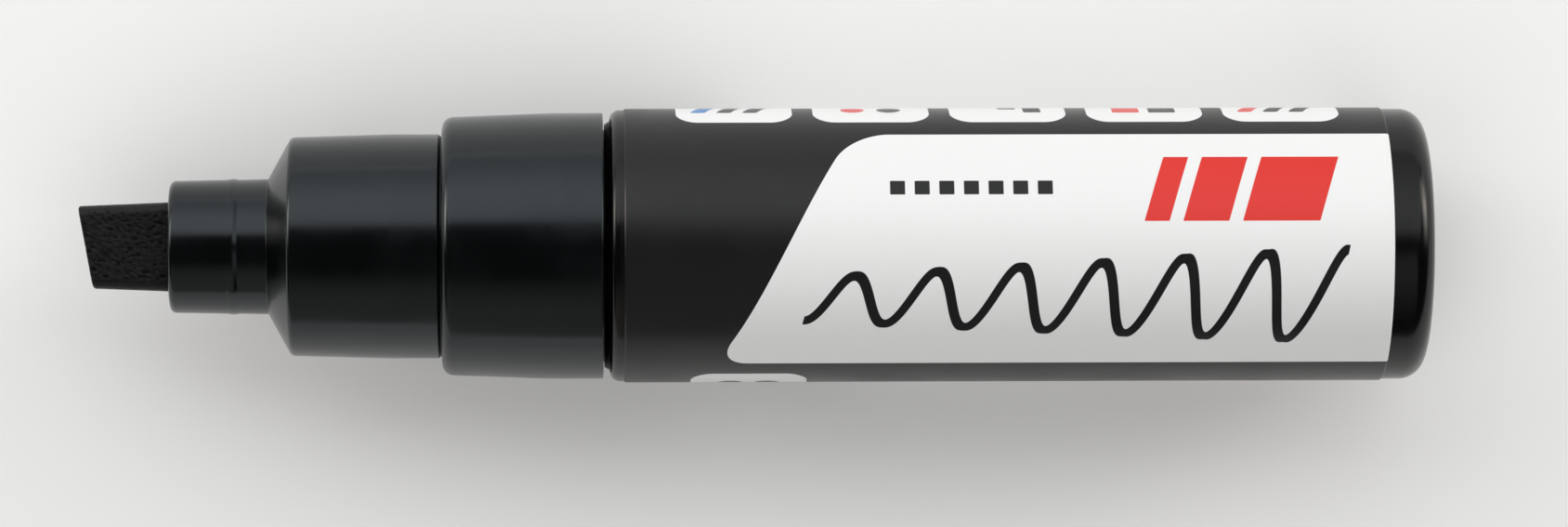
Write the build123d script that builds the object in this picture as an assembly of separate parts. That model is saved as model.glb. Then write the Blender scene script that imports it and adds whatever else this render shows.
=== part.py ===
from build123d import *

import os
from math import cos, radians, sin, tan, tau

# A liquid chalk marker with a broad chisel nib, uncapped, lying on its side.
# X runs along the marker, from the writing end at -X to the closed rear end at +X.
# Y runs across the broad face of the nib, and Z points up from the surface under the marker.
# The origin is on that surface, under the middle of the marker's length.
# Lengths are in millimetres and angles in degrees.

# Clearances, and how far every cutting solid runs past the face that it cuts
overrun = 1.0
press_clearance = 0.03
guide_clearance = 0.10
tail_clearance = 0.08
film_clearance = 0.02
ball_clearance = 0.15
groove_clearance = 0.05

# Nib: a fibre block with rounded long edges, cut at a slant across its writing end
nib_tip_width = 7.90
nib_taper = 0.35
nib_thickness = 5.00
nib_edge_radius = 1.10
nib_tip_radius = 0.30
nib_tip_slant = 10.5
nib_reach = 8.80
nib_tail = 1.00

# Barrel: the tank, with a neck that goes into the front housing's collar
barrel_radius = 13.10
barrel_length = 78.88
barrel_wall = 1.35
barrel_end_wall = 1.60
barrel_end_radius = 2.30
barrel_rim_radius = 1.00
neck_wall = 2.00
neck_lip_radius = 0.40
tank_shoulder_angle = 45.0

# Label film round the barrel, between two narrow lands as high as it, which guard its edges
label_thickness = 0.12
label_front_inset = 1.63
label_rear_inset = 4.35
label_land_width = 0.25

# Front housing, outside, from the nib sleeve back to the collar
sleeve_wall = 1.96
sleeve_draft = 0.16
sleeve_length = 9.48
sleeve_lip_radius = 0.62
sleeve_mouth_chamfer = 0.25
sleeve_ring_offset = 6.10
sleeve_ring_width = 1.10
sleeve_ring_height = 0.15
cone_length = 2.22
shoulder_radius = 0.62
seat_draft = 0.27
seat_step = 1.63
seat_taper_length = 9.30
seat_land_length = 4.91
seat_relief_length = 0.34
seat_relief_depth = 0.30
collar_inset = 0.25
collar_draft = 0.40
collar_taper_length = 10.85
collar_land_length = 4.68
collar_corner_radius = 1.10
collar_blend_radius = 60.0
collar_edge_radius = 0.15
joint_gap = 0.64

# Front housing, inside
housing_wall = 1.60
housing_front_wall = 1.60
collar_wall = 1.20
collar_front_wall = 1.60

# Snap ring of the barrel's neck in the collar, and the seal ahead of it
snap_offset = 8.00
snap_width = 1.60
snap_height = 0.25
snap_root = 0.30
o_ring_offset = 3.50
o_ring_section = 0.90
o_ring_side_gap = 0.12

# Valve, from the nib back to the tank
press_travel = 3.00
nib_stop_gap = 1.60
stem_radius = 1.40
port_gap = 0.50
foot_clearance = 0.15
foot_thickness = 0.80
seat_ring_gap = 0.20
seat_ring_land = 1.00
seat_ring_thickness = 1.20
head_thickness = 1.20
tail_radius = 1.30
tail_overhang = 1.50
rod_end_chamfer = 0.30
ink_passage = 1.60
valve_wall = 0.90
valve_front_wall = 1.20
valve_lip_height = 0.35
valve_lip_length = 0.80
flange_thickness = 1.20
gasket_thickness = 0.80

# Spring and its retainer
spring_wire = 0.50
spring_slack = 0.60
spring_length = 11.50
spring_turns = 7
spring_steps_per_turn = 4
spring_end_gap = 0.45
spring_seat_gap = 0.05
retainer_thickness = 1.50
retainer_port_radius = 0.65
retainer_port_count = 6

# Mixing ball, and where it lies along the tank
ball_radius = 3.50
ball_place_share = 0.70

# Radii that follow from the sizes above
nib_root_width = nib_tip_width + 2 * nib_taper
sleeve_front_radius = nib_root_width / 2 + guide_clearance + sleeve_wall
sleeve_rear_radius = sleeve_front_radius + sleeve_draft
collar_radius = barrel_radius - collar_inset
collar_front_radius = collar_radius - collar_draft
seat_radius = collar_front_radius - seat_step
seat_front_radius = seat_radius - seat_draft
valve_bore_radius = seat_front_radius - housing_wall
socket_radius = collar_front_radius - collar_wall
neck_radius = socket_radius - press_clearance
neck_bore_radius = neck_radius - neck_wall
tank_radius = barrel_radius - barrel_wall
label_inner_radius = barrel_radius + film_clearance
label_radius = label_inner_radius + label_thickness
port_radius = stem_radius + port_gap
foot_radius = port_radius - foot_clearance
seat_ring_bore = port_radius + seat_ring_gap
head_radius = seat_ring_bore + seat_ring_land
valve_tube_bore = head_radius + ink_passage
valve_tube_radius = valve_tube_bore + valve_wall
spring_radius = tail_radius + spring_slack + spring_wire / 2

# Stations along the axis, counted from the foremost corner of the nib
x_sleeve = nib_reach
x_cone = x_sleeve + sleeve_length
x_seat = x_cone + cone_length
x_seat_land = x_seat + seat_taper_length
x_relief = x_seat_land + seat_land_length
x_collar = x_relief + seat_relief_length
x_collar_land = x_collar + collar_taper_length
x_collar_rear = x_collar_land + collar_land_length
x_barrel = x_collar_rear + joint_gap
x_rear = x_barrel + barrel_length
x_label_front = x_barrel + label_front_inset
x_label_rear = x_rear - label_rear_inset
x_chamber = x_seat + housing_front_wall
x_nib_rear = x_chamber + nib_tail
x_valve = x_nib_rear + press_travel + nib_stop_gap
x_seat_ring = x_valve + valve_front_wall
x_head = x_seat_ring + seat_ring_thickness
x_head_rear = x_head + head_thickness
x_retainer = x_head_rear + spring_length
x_retainer_rear = x_retainer + retainer_thickness
x_valve_rear = x_retainer_rear + valve_lip_length
x_tail = x_valve_rear + tail_overhang
x_socket = x_collar + collar_front_wall
x_flange = x_socket + gasket_thickness
x_neck = x_flange + flange_thickness
x_snap = x_neck + snap_offset
x_o_ring = x_neck + o_ring_offset
x_tank_shoulder = x_barrel + barrel_wall
x_tank = x_tank_shoulder + (tank_radius - neck_bore_radius) / tan(radians(tank_shoulder_angle))
x_tank_rear = x_rear - barrel_end_wall

# The ball rolls on the tank's lowest line, between the cone of its front shoulder and its end wall
ball_room = ball_radius + ball_clearance
ball_drop = tank_radius - ball_room
x_ball_front = x_tank + ball_room * tan(radians(tank_shoulder_angle / 2))
x_ball_rear = x_tank_rear - ball_room
x_ball = x_ball_front + ball_place_share * (x_ball_rear - x_ball_front)


def turned(points, radii=None):
    """A solid turned about X from a closed outline of (station, radius) points, rounded where radii say."""
    rounding = radii or {}
    corner_radii = [rounding.get(number, 0) for number in range(len(points))]
    outline = FilletPolyline(*points, radius=corner_radii, close=True)
    return revolve(make_face(outline), Axis.X)


def tube(x_start, x_end, inner_radius, outer_radius):
    """A plain tube about X."""
    return turned(
        [(x_start, inner_radius), (x_start, outer_radius), (x_end, outer_radius), (x_end, inner_radius)]
    )


def crowned_ring(x_middle, radius, width, height, root):
    """A ring about X with a round crown above radius and a square root below it."""
    x_start = x_middle - width / 2
    x_end = x_middle + width / 2
    crown = ThreePointArc((x_start, radius), (x_middle, radius + height), (x_end, radius))
    base = Polyline((x_end, radius), (x_end, radius - root), (x_start, radius - root), (x_start, radius))
    return revolve(make_face([crown, base]), Axis.X)


def nib_section(x_place, width, clearance=0):
    """The nib's rounded rectangle, square to the axis, with a clearance all round."""
    plane = Plane(origin=(x_place, 0, 0), x_dir=(0, 1, 0), z_dir=(1, 0, 0))
    return plane * RectangleRounded(
        width + 2 * clearance, nib_thickness + 2 * clearance, nib_edge_radius + clearance
    )


def make_nib():
    """Straight in its guide, tapered ahead of it, cut at a slant with the +Y corner foremost."""
    straight = extrude(nib_section(x_sleeve, nib_root_width), x_nib_rear - x_sleeve)
    tapered = loft([nib_section(0, nib_tip_width), nib_section(x_sleeve, nib_root_width)], ruled=True)
    slant = tan(radians(nib_tip_slant))
    half_span = nib_tip_width / 2 + overrun
    upper = (-overrun * slant, half_span)
    lower = ((nib_tip_width + overrun) * slant, -half_span)
    waste = Polygon(
        upper, lower, (-overrun, -half_span), (-overrun, half_span), align=None
    )
    wedge = extrude(waste, nib_thickness / 2 + overrun, both=True)
    block = straight + tapered - wedge
    tip_face = block.faces().sort_by(Axis.X)[0]
    return fillet(tip_face.edges(), nib_tip_radius)


def make_front_housing():
    """Nib sleeve, cone, cap seat and collar in one moulding, with the nib's guide and the valve's room inside.

    A slanted relief at the seat's rear lets the cap come right up to the collar.
    """
    body = turned(
        [
            (x_sleeve, 0),
            (x_sleeve, sleeve_front_radius),
            (x_cone, sleeve_rear_radius),
            (x_seat, seat_front_radius),
            (x_seat_land, seat_radius),
            (x_relief, seat_radius),
            (x_collar, seat_radius - seat_relief_depth),
            (x_collar, collar_front_radius),
            (x_collar_land, collar_radius),
            (x_collar_rear, collar_radius),
            (x_collar_rear, socket_radius),
            (x_socket, socket_radius),
            (x_socket, valve_bore_radius),
            (x_chamber, valve_bore_radius),
            (x_chamber, 0),
        ],
        {
            1: sleeve_lip_radius,
            3: shoulder_radius,
            7: collar_corner_radius,
            8: collar_blend_radius,
            9: collar_edge_radius,
        },
    )
    ring_share = sleeve_ring_offset / sleeve_length
    ring_base = sleeve_front_radius + ring_share * sleeve_draft
    body += crowned_ring(
        x_sleeve + sleeve_ring_offset, ring_base, sleeve_ring_width, sleeve_ring_height, sleeve_wall / 2
    )
    guide = nib_section(x_sleeve - overrun, nib_root_width, guide_clearance)
    body -= extrude(guide, x_chamber - x_sleeve + 2 * overrun)
    groove_crown = neck_radius + snap_height + groove_clearance
    body -= crowned_ring(
        x_snap, socket_radius, snap_width + 2 * groove_clearance, groove_crown - socket_radius, overrun
    )
    front_face = body.faces().sort_by(Axis.X)[0]
    return chamfer(front_face.inner_wires()[0].edges(), sleeve_mouth_chamfer)


def make_barrel():
    """A closed tank with a rounded rear end, lands at the film's ends, and a neck with a snap ring and a groove."""
    body = turned(
        [
            (x_neck, neck_bore_radius),
            (x_neck, neck_radius),
            (x_barrel, neck_radius),
            (x_barrel, barrel_radius),
            (x_rear, barrel_radius),
            (x_rear, 0),
            (x_tank_rear, 0),
            (x_tank_rear, tank_radius),
            (x_tank, tank_radius),
            (x_tank_shoulder, neck_bore_radius),
        ],
        {
            1: neck_lip_radius,
            3: barrel_rim_radius,
            4: barrel_end_radius,
            7: barrel_end_radius - barrel_wall,
        },
    )
    for x_land in (x_label_front - label_land_width, x_label_rear):
        body += tube(x_land, x_land + label_land_width, barrel_radius - barrel_wall / 2, label_radius)
    body += crowned_ring(x_snap, neck_radius, snap_width, snap_height, snap_root)
    groove_half_width = o_ring_section / 2 + o_ring_side_gap
    groove_floor = socket_radius - o_ring_section - 2 * press_clearance
    return body - tube(
        x_o_ring - groove_half_width, x_o_ring + groove_half_width, groove_floor, neck_radius + overrun
    )


def make_label_sleeve():
    """A thin film round the barrel, level with the lands at its ends."""
    return tube(
        x_label_front + film_clearance, x_label_rear - film_clearance, label_inner_radius, label_radius
    )


def make_neck_o_ring():
    """A round-section ring that fills the groove of the neck."""
    centre_radius = socket_radius - press_clearance - o_ring_section / 2
    section = Pos(x_o_ring, centre_radius) * Circle(o_ring_section / 2)
    return revolve(section, Axis.X)


def make_valve_gasket():
    """A flat ring between the housing's shoulder and the valve body's flange."""
    return tube(x_socket, x_flange, valve_tube_radius + press_clearance, socket_radius - press_clearance)


def make_valve_body():
    """A tube with a ported front wall, a clamping flange, and a snap lip behind the spring's retainer."""
    flange_radius = socket_radius - press_clearance
    lip_radius = valve_tube_bore - valve_lip_height
    return turned(
        [
            (x_valve, port_radius),
            (x_valve, valve_tube_radius),
            (x_flange, valve_tube_radius),
            (x_flange, flange_radius),
            (x_neck, flange_radius),
            (x_neck, valve_tube_radius),
            (x_valve_rear, valve_tube_radius),
            (x_valve_rear, lip_radius),
            (x_retainer_rear, lip_radius),
            (x_retainer_rear, valve_tube_bore),
            (x_seat_ring, valve_tube_bore),
            (x_seat_ring, port_radius),
        ]
    )


def make_valve_seat():
    """The ring on the front wall that the rod's head closes on."""
    return tube(x_seat_ring, x_head, seat_ring_bore, valve_tube_bore - press_clearance)


def make_valve_rod():
    """A stem with a foot against the nib, a sealing head, and a tail that runs in the retainer."""
    rod = turned(
        [
            (x_nib_rear, 0),
            (x_nib_rear, foot_radius),
            (x_nib_rear + foot_thickness, foot_radius),
            (x_nib_rear + foot_thickness, stem_radius),
            (x_head, stem_radius),
            (x_head, head_radius),
            (x_head_rear, head_radius),
            (x_head_rear, tail_radius),
            (x_tail, tail_radius),
            (x_tail, 0),
        ]
    )
    tail_end = rod.faces().sort_by(Axis.X)[-1]
    return chamfer(tail_end.edges(), rod_end_chamfer)


def make_spring_retainer():
    """A disc with a guide hole for the rod's tail and a ring of ink ports."""
    disc_radius = valve_tube_bore - press_clearance
    guide_radius = tail_radius + tail_clearance
    disc = tube(x_retainer, x_retainer_rear, guide_radius, disc_radius)
    port_circle = (guide_radius + disc_radius) / 2
    plane = Plane(origin=(x_retainer - overrun, 0, 0), z_dir=(1, 0, 0))
    for place_of_port in PolarLocations(port_circle, retainer_port_count):
        port = plane * place_of_port * Circle(retainer_port_radius)
        disc -= extrude(port, retainer_thickness + 2 * overrun)
    return disc


def spring_route():
    """Points and directions a quarter turn apart along the spring, whose end turns lie closer together."""
    x_start = x_head_rear + spring_wire / 2 + spring_seat_gap
    x_end = x_retainer - spring_wire / 2 - spring_seat_gap
    end_pitch = spring_wire + spring_end_gap
    working_pitch = (x_end - x_start - 2 * end_pitch) / (spring_turns - 2)
    pitches = [end_pitch] + [working_pitch] * (spring_turns - 2) + [end_pitch]
    rises = [pitch / spring_steps_per_turn for pitch in pitches for _ in range(spring_steps_per_turn)]
    x_place = x_start
    route = []
    for number in range(len(rises) + 1):
        angle = tau * number / spring_steps_per_turn
        before = rises[max(number - 1, 0)]
        after = rises[min(number, len(rises) - 1)]
        slope = (before + after) / 2 * spring_steps_per_turn / tau
        point = Vector(x_place, spring_radius * cos(angle), spring_radius * sin(angle))
        heading = Vector(slope, -spring_radius * sin(angle), spring_radius * cos(angle)).normalized()
        route.append((point, heading))
        x_place += after
    return route


def biarc(start, start_heading, end, end_heading):
    """Two arcs that leave start and reach end along the given headings and meet without a kink."""
    across = end - start
    both = start_heading + end_heading
    square = 2 * (start_heading.dot(end_heading) - 1)
    reach = across.dot(both)
    length = (reach - (reach**2 - square * across.dot(across)) ** 0.5) / square
    meeting = (start + start_heading * length + end - end_heading * length) / 2
    meeting_heading = end - end_heading * length - start - start_heading * length
    first = Edge.make_tangent_arc(start, start_heading, meeting)
    second = Edge.make_tangent_arc(meeting, meeting_heading, end)
    return [first, second]


def make_valve_spring():
    """A round wire carried along the spring's route."""
    route = spring_route()
    edges = []
    for (start, start_heading), (end, end_heading) in zip(route, route[1:]):
        edges += biarc(start, start_heading, end, end_heading)
    path = Wire(edges)
    section = Plane(origin=path @ 0, z_dir=path % 0) * Circle(spring_wire / 2)
    return sweep(section, path=path)


def make_mixing_ball():
    """A ball on the tank's lowest line."""
    return Pos(x_ball, 0, -ball_drop) * Sphere(ball_radius)


makers = {
    "nib": make_nib,
    "front_housing": make_front_housing,
    "barrel": make_barrel,
    "label_sleeve": make_label_sleeve,
    "neck_o_ring": make_neck_o_ring,
    "valve_gasket": make_valve_gasket,
    "valve_body": make_valve_body,
    "valve_seat": make_valve_seat,
    "valve_rod": make_valve_rod,
    "valve_spring": make_valve_spring,
    "spring_retainer": make_spring_retainer,
    "mixing_ball": make_mixing_ball,
}

# The middle of the length goes to x = 0, and the lowest line of the lands and the film goes to z = 0
place = Pos(-x_rear / 2, 0, label_radius)
os.makedirs("parts", exist_ok=True)
for name, make in makers.items():
    export_step(place * make(), f"parts/{name}.step")

turns = [point for point, _ in spring_route()]
least_gap = min((b - a).length for a, b in zip(turns, turns[spring_steps_per_turn:])) - spring_wire
print(f"length {x_rear:.2f}, diameter {2 * label_radius:.2f}, least gap between spring turns {least_gap:.2f}")
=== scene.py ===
"""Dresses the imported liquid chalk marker: smooth shells, porous nib, printed film, studio light and camera.

The marker lies along X with its nib towards -X. Its sizes are in millimetres and become metres in a mesh.
Stations run along X from the foremost corner of the nib, and angles run round the axis from +Z towards +Y.
"""

import logging
import math
from dataclasses import dataclass
from enum import Enum

import bpy
import numpy as np
from mathutils import Matrix, Vector

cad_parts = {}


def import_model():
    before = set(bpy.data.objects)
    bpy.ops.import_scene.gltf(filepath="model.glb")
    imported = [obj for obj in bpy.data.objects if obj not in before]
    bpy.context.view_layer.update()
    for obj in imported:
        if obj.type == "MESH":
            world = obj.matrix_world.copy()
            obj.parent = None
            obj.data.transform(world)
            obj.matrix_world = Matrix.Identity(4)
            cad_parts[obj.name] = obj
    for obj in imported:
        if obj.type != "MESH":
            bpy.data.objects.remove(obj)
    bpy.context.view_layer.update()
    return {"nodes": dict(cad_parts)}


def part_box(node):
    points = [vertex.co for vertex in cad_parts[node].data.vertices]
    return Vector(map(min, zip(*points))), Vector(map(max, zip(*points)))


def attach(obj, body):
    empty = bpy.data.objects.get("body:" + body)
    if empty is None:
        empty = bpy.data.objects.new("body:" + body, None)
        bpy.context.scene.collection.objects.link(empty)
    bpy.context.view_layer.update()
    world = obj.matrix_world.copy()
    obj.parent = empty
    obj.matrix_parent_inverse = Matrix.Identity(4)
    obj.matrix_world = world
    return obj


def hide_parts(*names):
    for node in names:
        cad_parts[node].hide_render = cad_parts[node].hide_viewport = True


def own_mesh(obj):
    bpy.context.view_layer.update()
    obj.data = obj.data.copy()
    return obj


MM = 0.001
TURN = 2.0 * math.pi

# How finely outlines are rounded and carried round the axis
LEAST_ROUNDING = 0.05
SUPPORT = 0.06
SUPPORT_SHARE = 0.2
ARC_STEPS = 10
COLUMNS = 288
ROW_SPACING = 2.5

# Least share of a direction along an axis, so that nothing is divided by zero
LEAST_SHARE = 1e-9

# Half the width of the soft edge of everything printed, in millimetres
PRINT_SOFTNESS = 0.035

# Spacing of the plain marks on the film's tiles, and half the height of the middle step, in millimetres
BAR_PITCH = 2.5
GRID_OFFSET = 1.75
STEP_PITCH = 2.4
STEP_RISE = 0.75
STEP_HALF_HEIGHT = 2.15

log = logging.getLogger("chalk_marker")

Rgb = tuple[float, float, float]
Xyz = tuple[float, float, float]
Stops = tuple[tuple[float, float], ...]
Wire = bpy.types.NodeSocket | float | tuple[float, ...]


class Ends(Enum):
    """How the first and last rows of a grid are closed."""

    LOOP = "the last row joins the first"
    POLES = "each end row is a single point"


class Ink(Enum):
    """Inks of the printed film, as linear colours."""

    BLACK = (0.0055, 0.0055, 0.0060)
    WHITE = (0.83, 0.835, 0.84)
    RED = (0.70, 0.030, 0.022)
    BLUE = (0.030, 0.20, 0.52)


@dataclass(frozen=True)
class Mark:
    """A plain mark of a tile, in millimetres, offset along and around the film from the tile's middle."""

    right: float
    up: float
    half_length: float
    half_height: float
    lean: float = 0.0
    corner: float = 0.20


class Motif(Enum):
    """Plain marks of the film's tiles: leaning bars, four dots, rising steps or four panes."""

    BARS = tuple(
        Mark(BAR_PITCH * step, 0.0, half_length=0.72, half_height=2.9, lean=0.35, corner=0.30)
        for step in (-1, 0, 1)
    )
    DOTS = tuple(
        Mark(GRID_OFFSET * right, GRID_OFFSET * up, half_length=1.15, half_height=1.15, corner=1.15)
        for right in (-1, 1)
        for up in (-1, 1)
    )
    STEPS = tuple(
        Mark(
            STEP_PITCH * step,
            STEP_RISE - STEP_RISE * step,
            half_length=0.85,
            half_height=STEP_HALF_HEIGHT + STEP_RISE * step,
        )
        for step in (-1, 0, 1)
    )
    PANES = tuple(
        Mark(GRID_OFFSET * right, GRID_OFFSET * up, half_length=1.30, half_height=1.30)
        for right in (-1, 1)
        for up in (-1, 1)
    )


class Effect(Enum):
    """Names of the shader groups that several finishes share."""

    MOULDED_SKIN = "moulded_skin"
    HANDLED_EDGE = "handled_edge"
    PRINT_SHAPE = "print_shape"


@dataclass(frozen=True)
class Corner:
    """A corner of a turned outline: station, radius and rounding in millimetres."""

    x: float
    r: float
    rounding: float = LEAST_ROUNDING


@dataclass(frozen=True)
class Outline:
    """Rows of a rounded outline, with the corner each belongs to and how far it lies on a convex edge."""

    places: np.ndarray
    corner: np.ndarray
    edge: np.ndarray

    def finer(self, spacing: float = ROW_SPACING) -> "Outline":
        """Adds even rows to the long straight runs, by interpolation over the length along the outline.

        Args:
            spacing: Distance between the added rows in millimetres.

        Returns:
            The outline with its own rows and the added ones, in order.
        """
        steps = np.linalg.norm(np.diff(self.places, axis=0), axis=1)
        length = np.concatenate([[0.0], np.cumsum(steps)])
        added = np.arange(spacing, length[-1], spacing)
        nearest = np.abs(added[:, None] - length).min(axis=1)
        along = np.union1d(length, added[nearest > spacing * SUPPORT_SHARE])
        places = np.stack([np.interp(along, length, column) for column in self.places.T], axis=1)
        owner = np.searchsorted(length, along, side="right") - 1
        return Outline(places, self.corner[owner], np.interp(along, length, self.edge))


def rounded(corners: list[Corner], closed: bool) -> Outline:
    """Rounds the corners of an outline with arcs.

    A corner is left along both of its sides by rounding / tan(half its angle). The arc between those two
    points turns about a centre on the bisector, rounding / sin(half the angle) away. One more row sits a
    little further out on each side, so that smooth shading keeps to the arc.

    Args:
        corners: Corners in order, with the solid on the right; an open outline starts and ends on the axis.
        closed: Whether the last corner leads back to the first.

    Returns:
        The rounded outline.
    """
    table = np.array([(corner.x, corner.r, corner.rounding) for corner in corners])
    point = table[:, :2]
    radius = table[:, 2:]
    back = np.roll(point, 1, axis=0) - point
    ahead = np.roll(point, -1, axis=0) - point
    back_run = np.linalg.norm(back, axis=1, keepdims=True)
    ahead_run = np.linalg.norm(ahead, axis=1, keepdims=True)
    back = back / back_run
    ahead = ahead / ahead_run
    turn = np.arctan2(back[:, 1] * ahead[:, 0] - back[:, 0] * ahead[:, 1], -(back * ahead).sum(axis=1))
    half = 0.5 * (math.pi - np.abs(turn))[:, None]
    reach = radius / np.tan(half)
    bisector = back + ahead
    bisector = bisector / np.linalg.norm(bisector, axis=1, keepdims=True)
    centre = point + bisector * radius / np.sin(half)
    spoke = point + back * reach - centre
    share = np.linspace(0.0, 1.0, ARC_STEPS)
    angle = turn[:, None] * share
    arc_x = centre[:, :1] + spoke[:, :1] * np.cos(angle) - spoke[:, 1:] * np.sin(angle)
    arc_r = centre[:, 1:] + spoke[:, :1] * np.sin(angle) + spoke[:, 1:] * np.cos(angle)
    lead = point + back * (reach + np.minimum(SUPPORT, SUPPORT_SHARE * back_run))
    trail = point + ahead * (reach + np.minimum(SUPPORT, SUPPORT_SHARE * ahead_run))
    rows = np.concatenate([lead[:, None], np.stack([arc_x, arc_r], axis=-1), trail[:, None]], axis=1)
    convex = (turn < 0.0)[:, None] * np.sin(math.pi * np.pad(share, 1, mode="edge"))
    owner = np.repeat(np.arange(len(corners))[:, None], rows.shape[1], axis=1)
    if closed:
        return Outline(rows.reshape(-1, 2), owner.ravel(), convex.ravel())
    places = np.concatenate([point[:1], rows[1:-1].reshape(-1, 2), point[-1:]])
    inner_owner = np.concatenate([[0], owner[1:-1].ravel(), [len(corners) - 1]])
    return Outline(places, inner_owner, np.pad(convex[1:-1].ravel(), 1))


@dataclass(frozen=True)
class MarkerAxis:
    """Where the marker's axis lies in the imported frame, in metres."""

    tip: float
    height: float

    @classmethod
    def from_frame(cls, mouth_station: float) -> "MarkerAxis":
        """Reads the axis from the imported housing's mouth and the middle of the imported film.

        Args:
            mouth_station: Station of the housing's front face in millimetres.

        Returns:
            The axis.
        """
        mouth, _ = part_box("front_housing")
        low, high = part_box("label_sleeve")
        return cls(tip=mouth.x - mouth_station * MM, height=(low.z + high.z) / 2.0)

    def points(self, x: np.ndarray, y: np.ndarray, z: np.ndarray) -> np.ndarray:
        """Turns stations and offsets from the axis, in millimetres, into points of the frame.

        Args:
            x: Stations.
            y: Offsets towards +Y.
            z: Offsets towards +Z.

        Returns:
            Points in metres, with the coordinate as the last index.
        """
        x, y, z = np.broadcast_arrays(x, y, z)
        return np.stack([self.tip + x * MM, y * MM, self.height + z * MM], axis=-1)

    def turned(self, stations: np.ndarray, radius: np.ndarray, angles: np.ndarray) -> np.ndarray:
        """Carries rows round the axis: y is radius times sine, z is radius times cosine.

        Args:
            stations: Station of each row in millimetres.
            radius: Radius of each row as a column, or of each place of the grid, in millimetres.
            angles: Angles round the axis, one for each column.

        Returns:
            A grid of points in metres.
        """
        return self.points(stations[:, None], radius * np.sin(angles), radius * np.cos(angles))


def even_angles(count: int = COLUMNS) -> np.ndarray:
    """Evenly spaced angles of one turn, without the last."""
    return TURN * np.arange(count) / count


@dataclass(frozen=True)
class GridSkin:
    """A closed skin over a grid of points, whose columns always run round and meet."""

    points: np.ndarray
    ends: Ends

    def flat(self, values: np.ndarray) -> np.ndarray:
        """Lists grid values in the order of the skin's vertices.

        Args:
            values: One value or one point for each place of the grid.

        Returns:
            The values, with each pole counted once.
        """
        if self.ends is Ends.LOOP:
            return values.reshape(-1, *values.shape[2:])
        inner = values[1:-1].reshape(-1, *values.shape[2:])
        return np.concatenate([values[:1, 0], inner, values[-1:, 0]])

    def faces(self) -> tuple[np.ndarray, np.ndarray]:
        """Joins each row to the next with quads, and the end rows to their poles with triangles.

        Returns:
            Vertex numbers of the quads and of the triangles, turned so that the faces point outwards.
        """
        rows, columns = self.points.shape[:2]
        if self.ends is Ends.LOOP:
            upper = np.arange(rows * columns).reshape(rows, columns)
            lower = np.roll(upper, -1, axis=0)
            fans = np.empty((0, 3), int)
        else:
            rings = 1 + np.arange((rows - 2) * columns).reshape(rows - 2, columns)
            upper = rings[:-1]
            lower = rings[1:]
            first = np.stack([np.zeros(columns, int), np.roll(rings[0], -1), rings[0]], axis=1)
            final = np.full(columns, rings[-1, -1] + 1)
            last = np.stack([final, rings[-1], np.roll(rings[-1], -1)], axis=1)
            fans = np.concatenate([first, last])
        ahead_upper = np.roll(upper, -1, axis=1)
        ahead_lower = np.roll(lower, -1, axis=1)
        quads = np.stack([upper, ahead_upper, ahead_lower, lower], axis=-1).reshape(-1, 4)
        triangles = np.concatenate([quads[:, [0, 1, 2]], quads[:, [0, 2, 3]], fans])
        a, b, c = np.moveaxis(self.flat(self.points)[triangles], 1, 0)
        if np.einsum("ij,ij->", a, np.cross(b, c)) < 0.0:
            return quads[:, ::-1], fans[:, ::-1]
        return quads, fans

    def mesh(self, name: str) -> bpy.types.Mesh:
        """Puts the skin into a smooth-shaded mesh.

        Args:
            name: The mesh's name.

        Returns:
            The mesh, whose vertices are in metres in the frame.
        """
        vertices = self.flat(self.points)
        quads, fans = self.faces()
        quad_starts = np.arange(len(quads)) * 4
        fan_starts = quads.size + np.arange(len(fans)) * 3
        mesh = bpy.data.meshes.new(name)
        mesh.vertices.add(len(vertices))
        mesh.vertices.foreach_set("co", vertices.astype(np.float32).ravel())
        mesh.loops.add(quads.size + fans.size)
        mesh.loops.foreach_set("vertex_index", np.concatenate([quads.ravel(), fans.ravel()]).astype(np.int32))
        mesh.polygons.add(len(quads) + len(fans))
        mesh.polygons.foreach_set("loop_start", np.concatenate([quad_starts, fan_starts]).astype(np.int32))
        mesh.update(calc_edges=True)
        mesh.validate()
        mesh.shade_smooth()
        return mesh


@dataclass(frozen=True)
class Piece:
    """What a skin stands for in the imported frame."""

    name: str
    node: str
    body: str
    slot: str

    def make(
        self, skin: GridSkin, material: bpy.types.Material, marks: dict[str, np.ndarray] | None = None
    ) -> bpy.types.Object:
        """Makes the object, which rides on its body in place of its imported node.

        Args:
            skin: The piece's surface.
            material: Its finish.
            marks: Values over the grid that the finish reads as attributes.

        Returns:
            The object, at the frame's origin.
        """
        mesh = skin.mesh(self.name)
        for name, values in (marks or {}).items():
            attribute = mesh.attributes.new(name, "FLOAT", "POINT")
            attribute.data.foreach_set("value", skin.flat(values).astype(np.float32))
        mesh.materials.append(material)
        made = bpy.data.objects.new(self.name, mesh)
        bpy.context.scene.collection.objects.link(made)
        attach(made, self.body)
        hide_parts(self.node)
        return made


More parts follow.
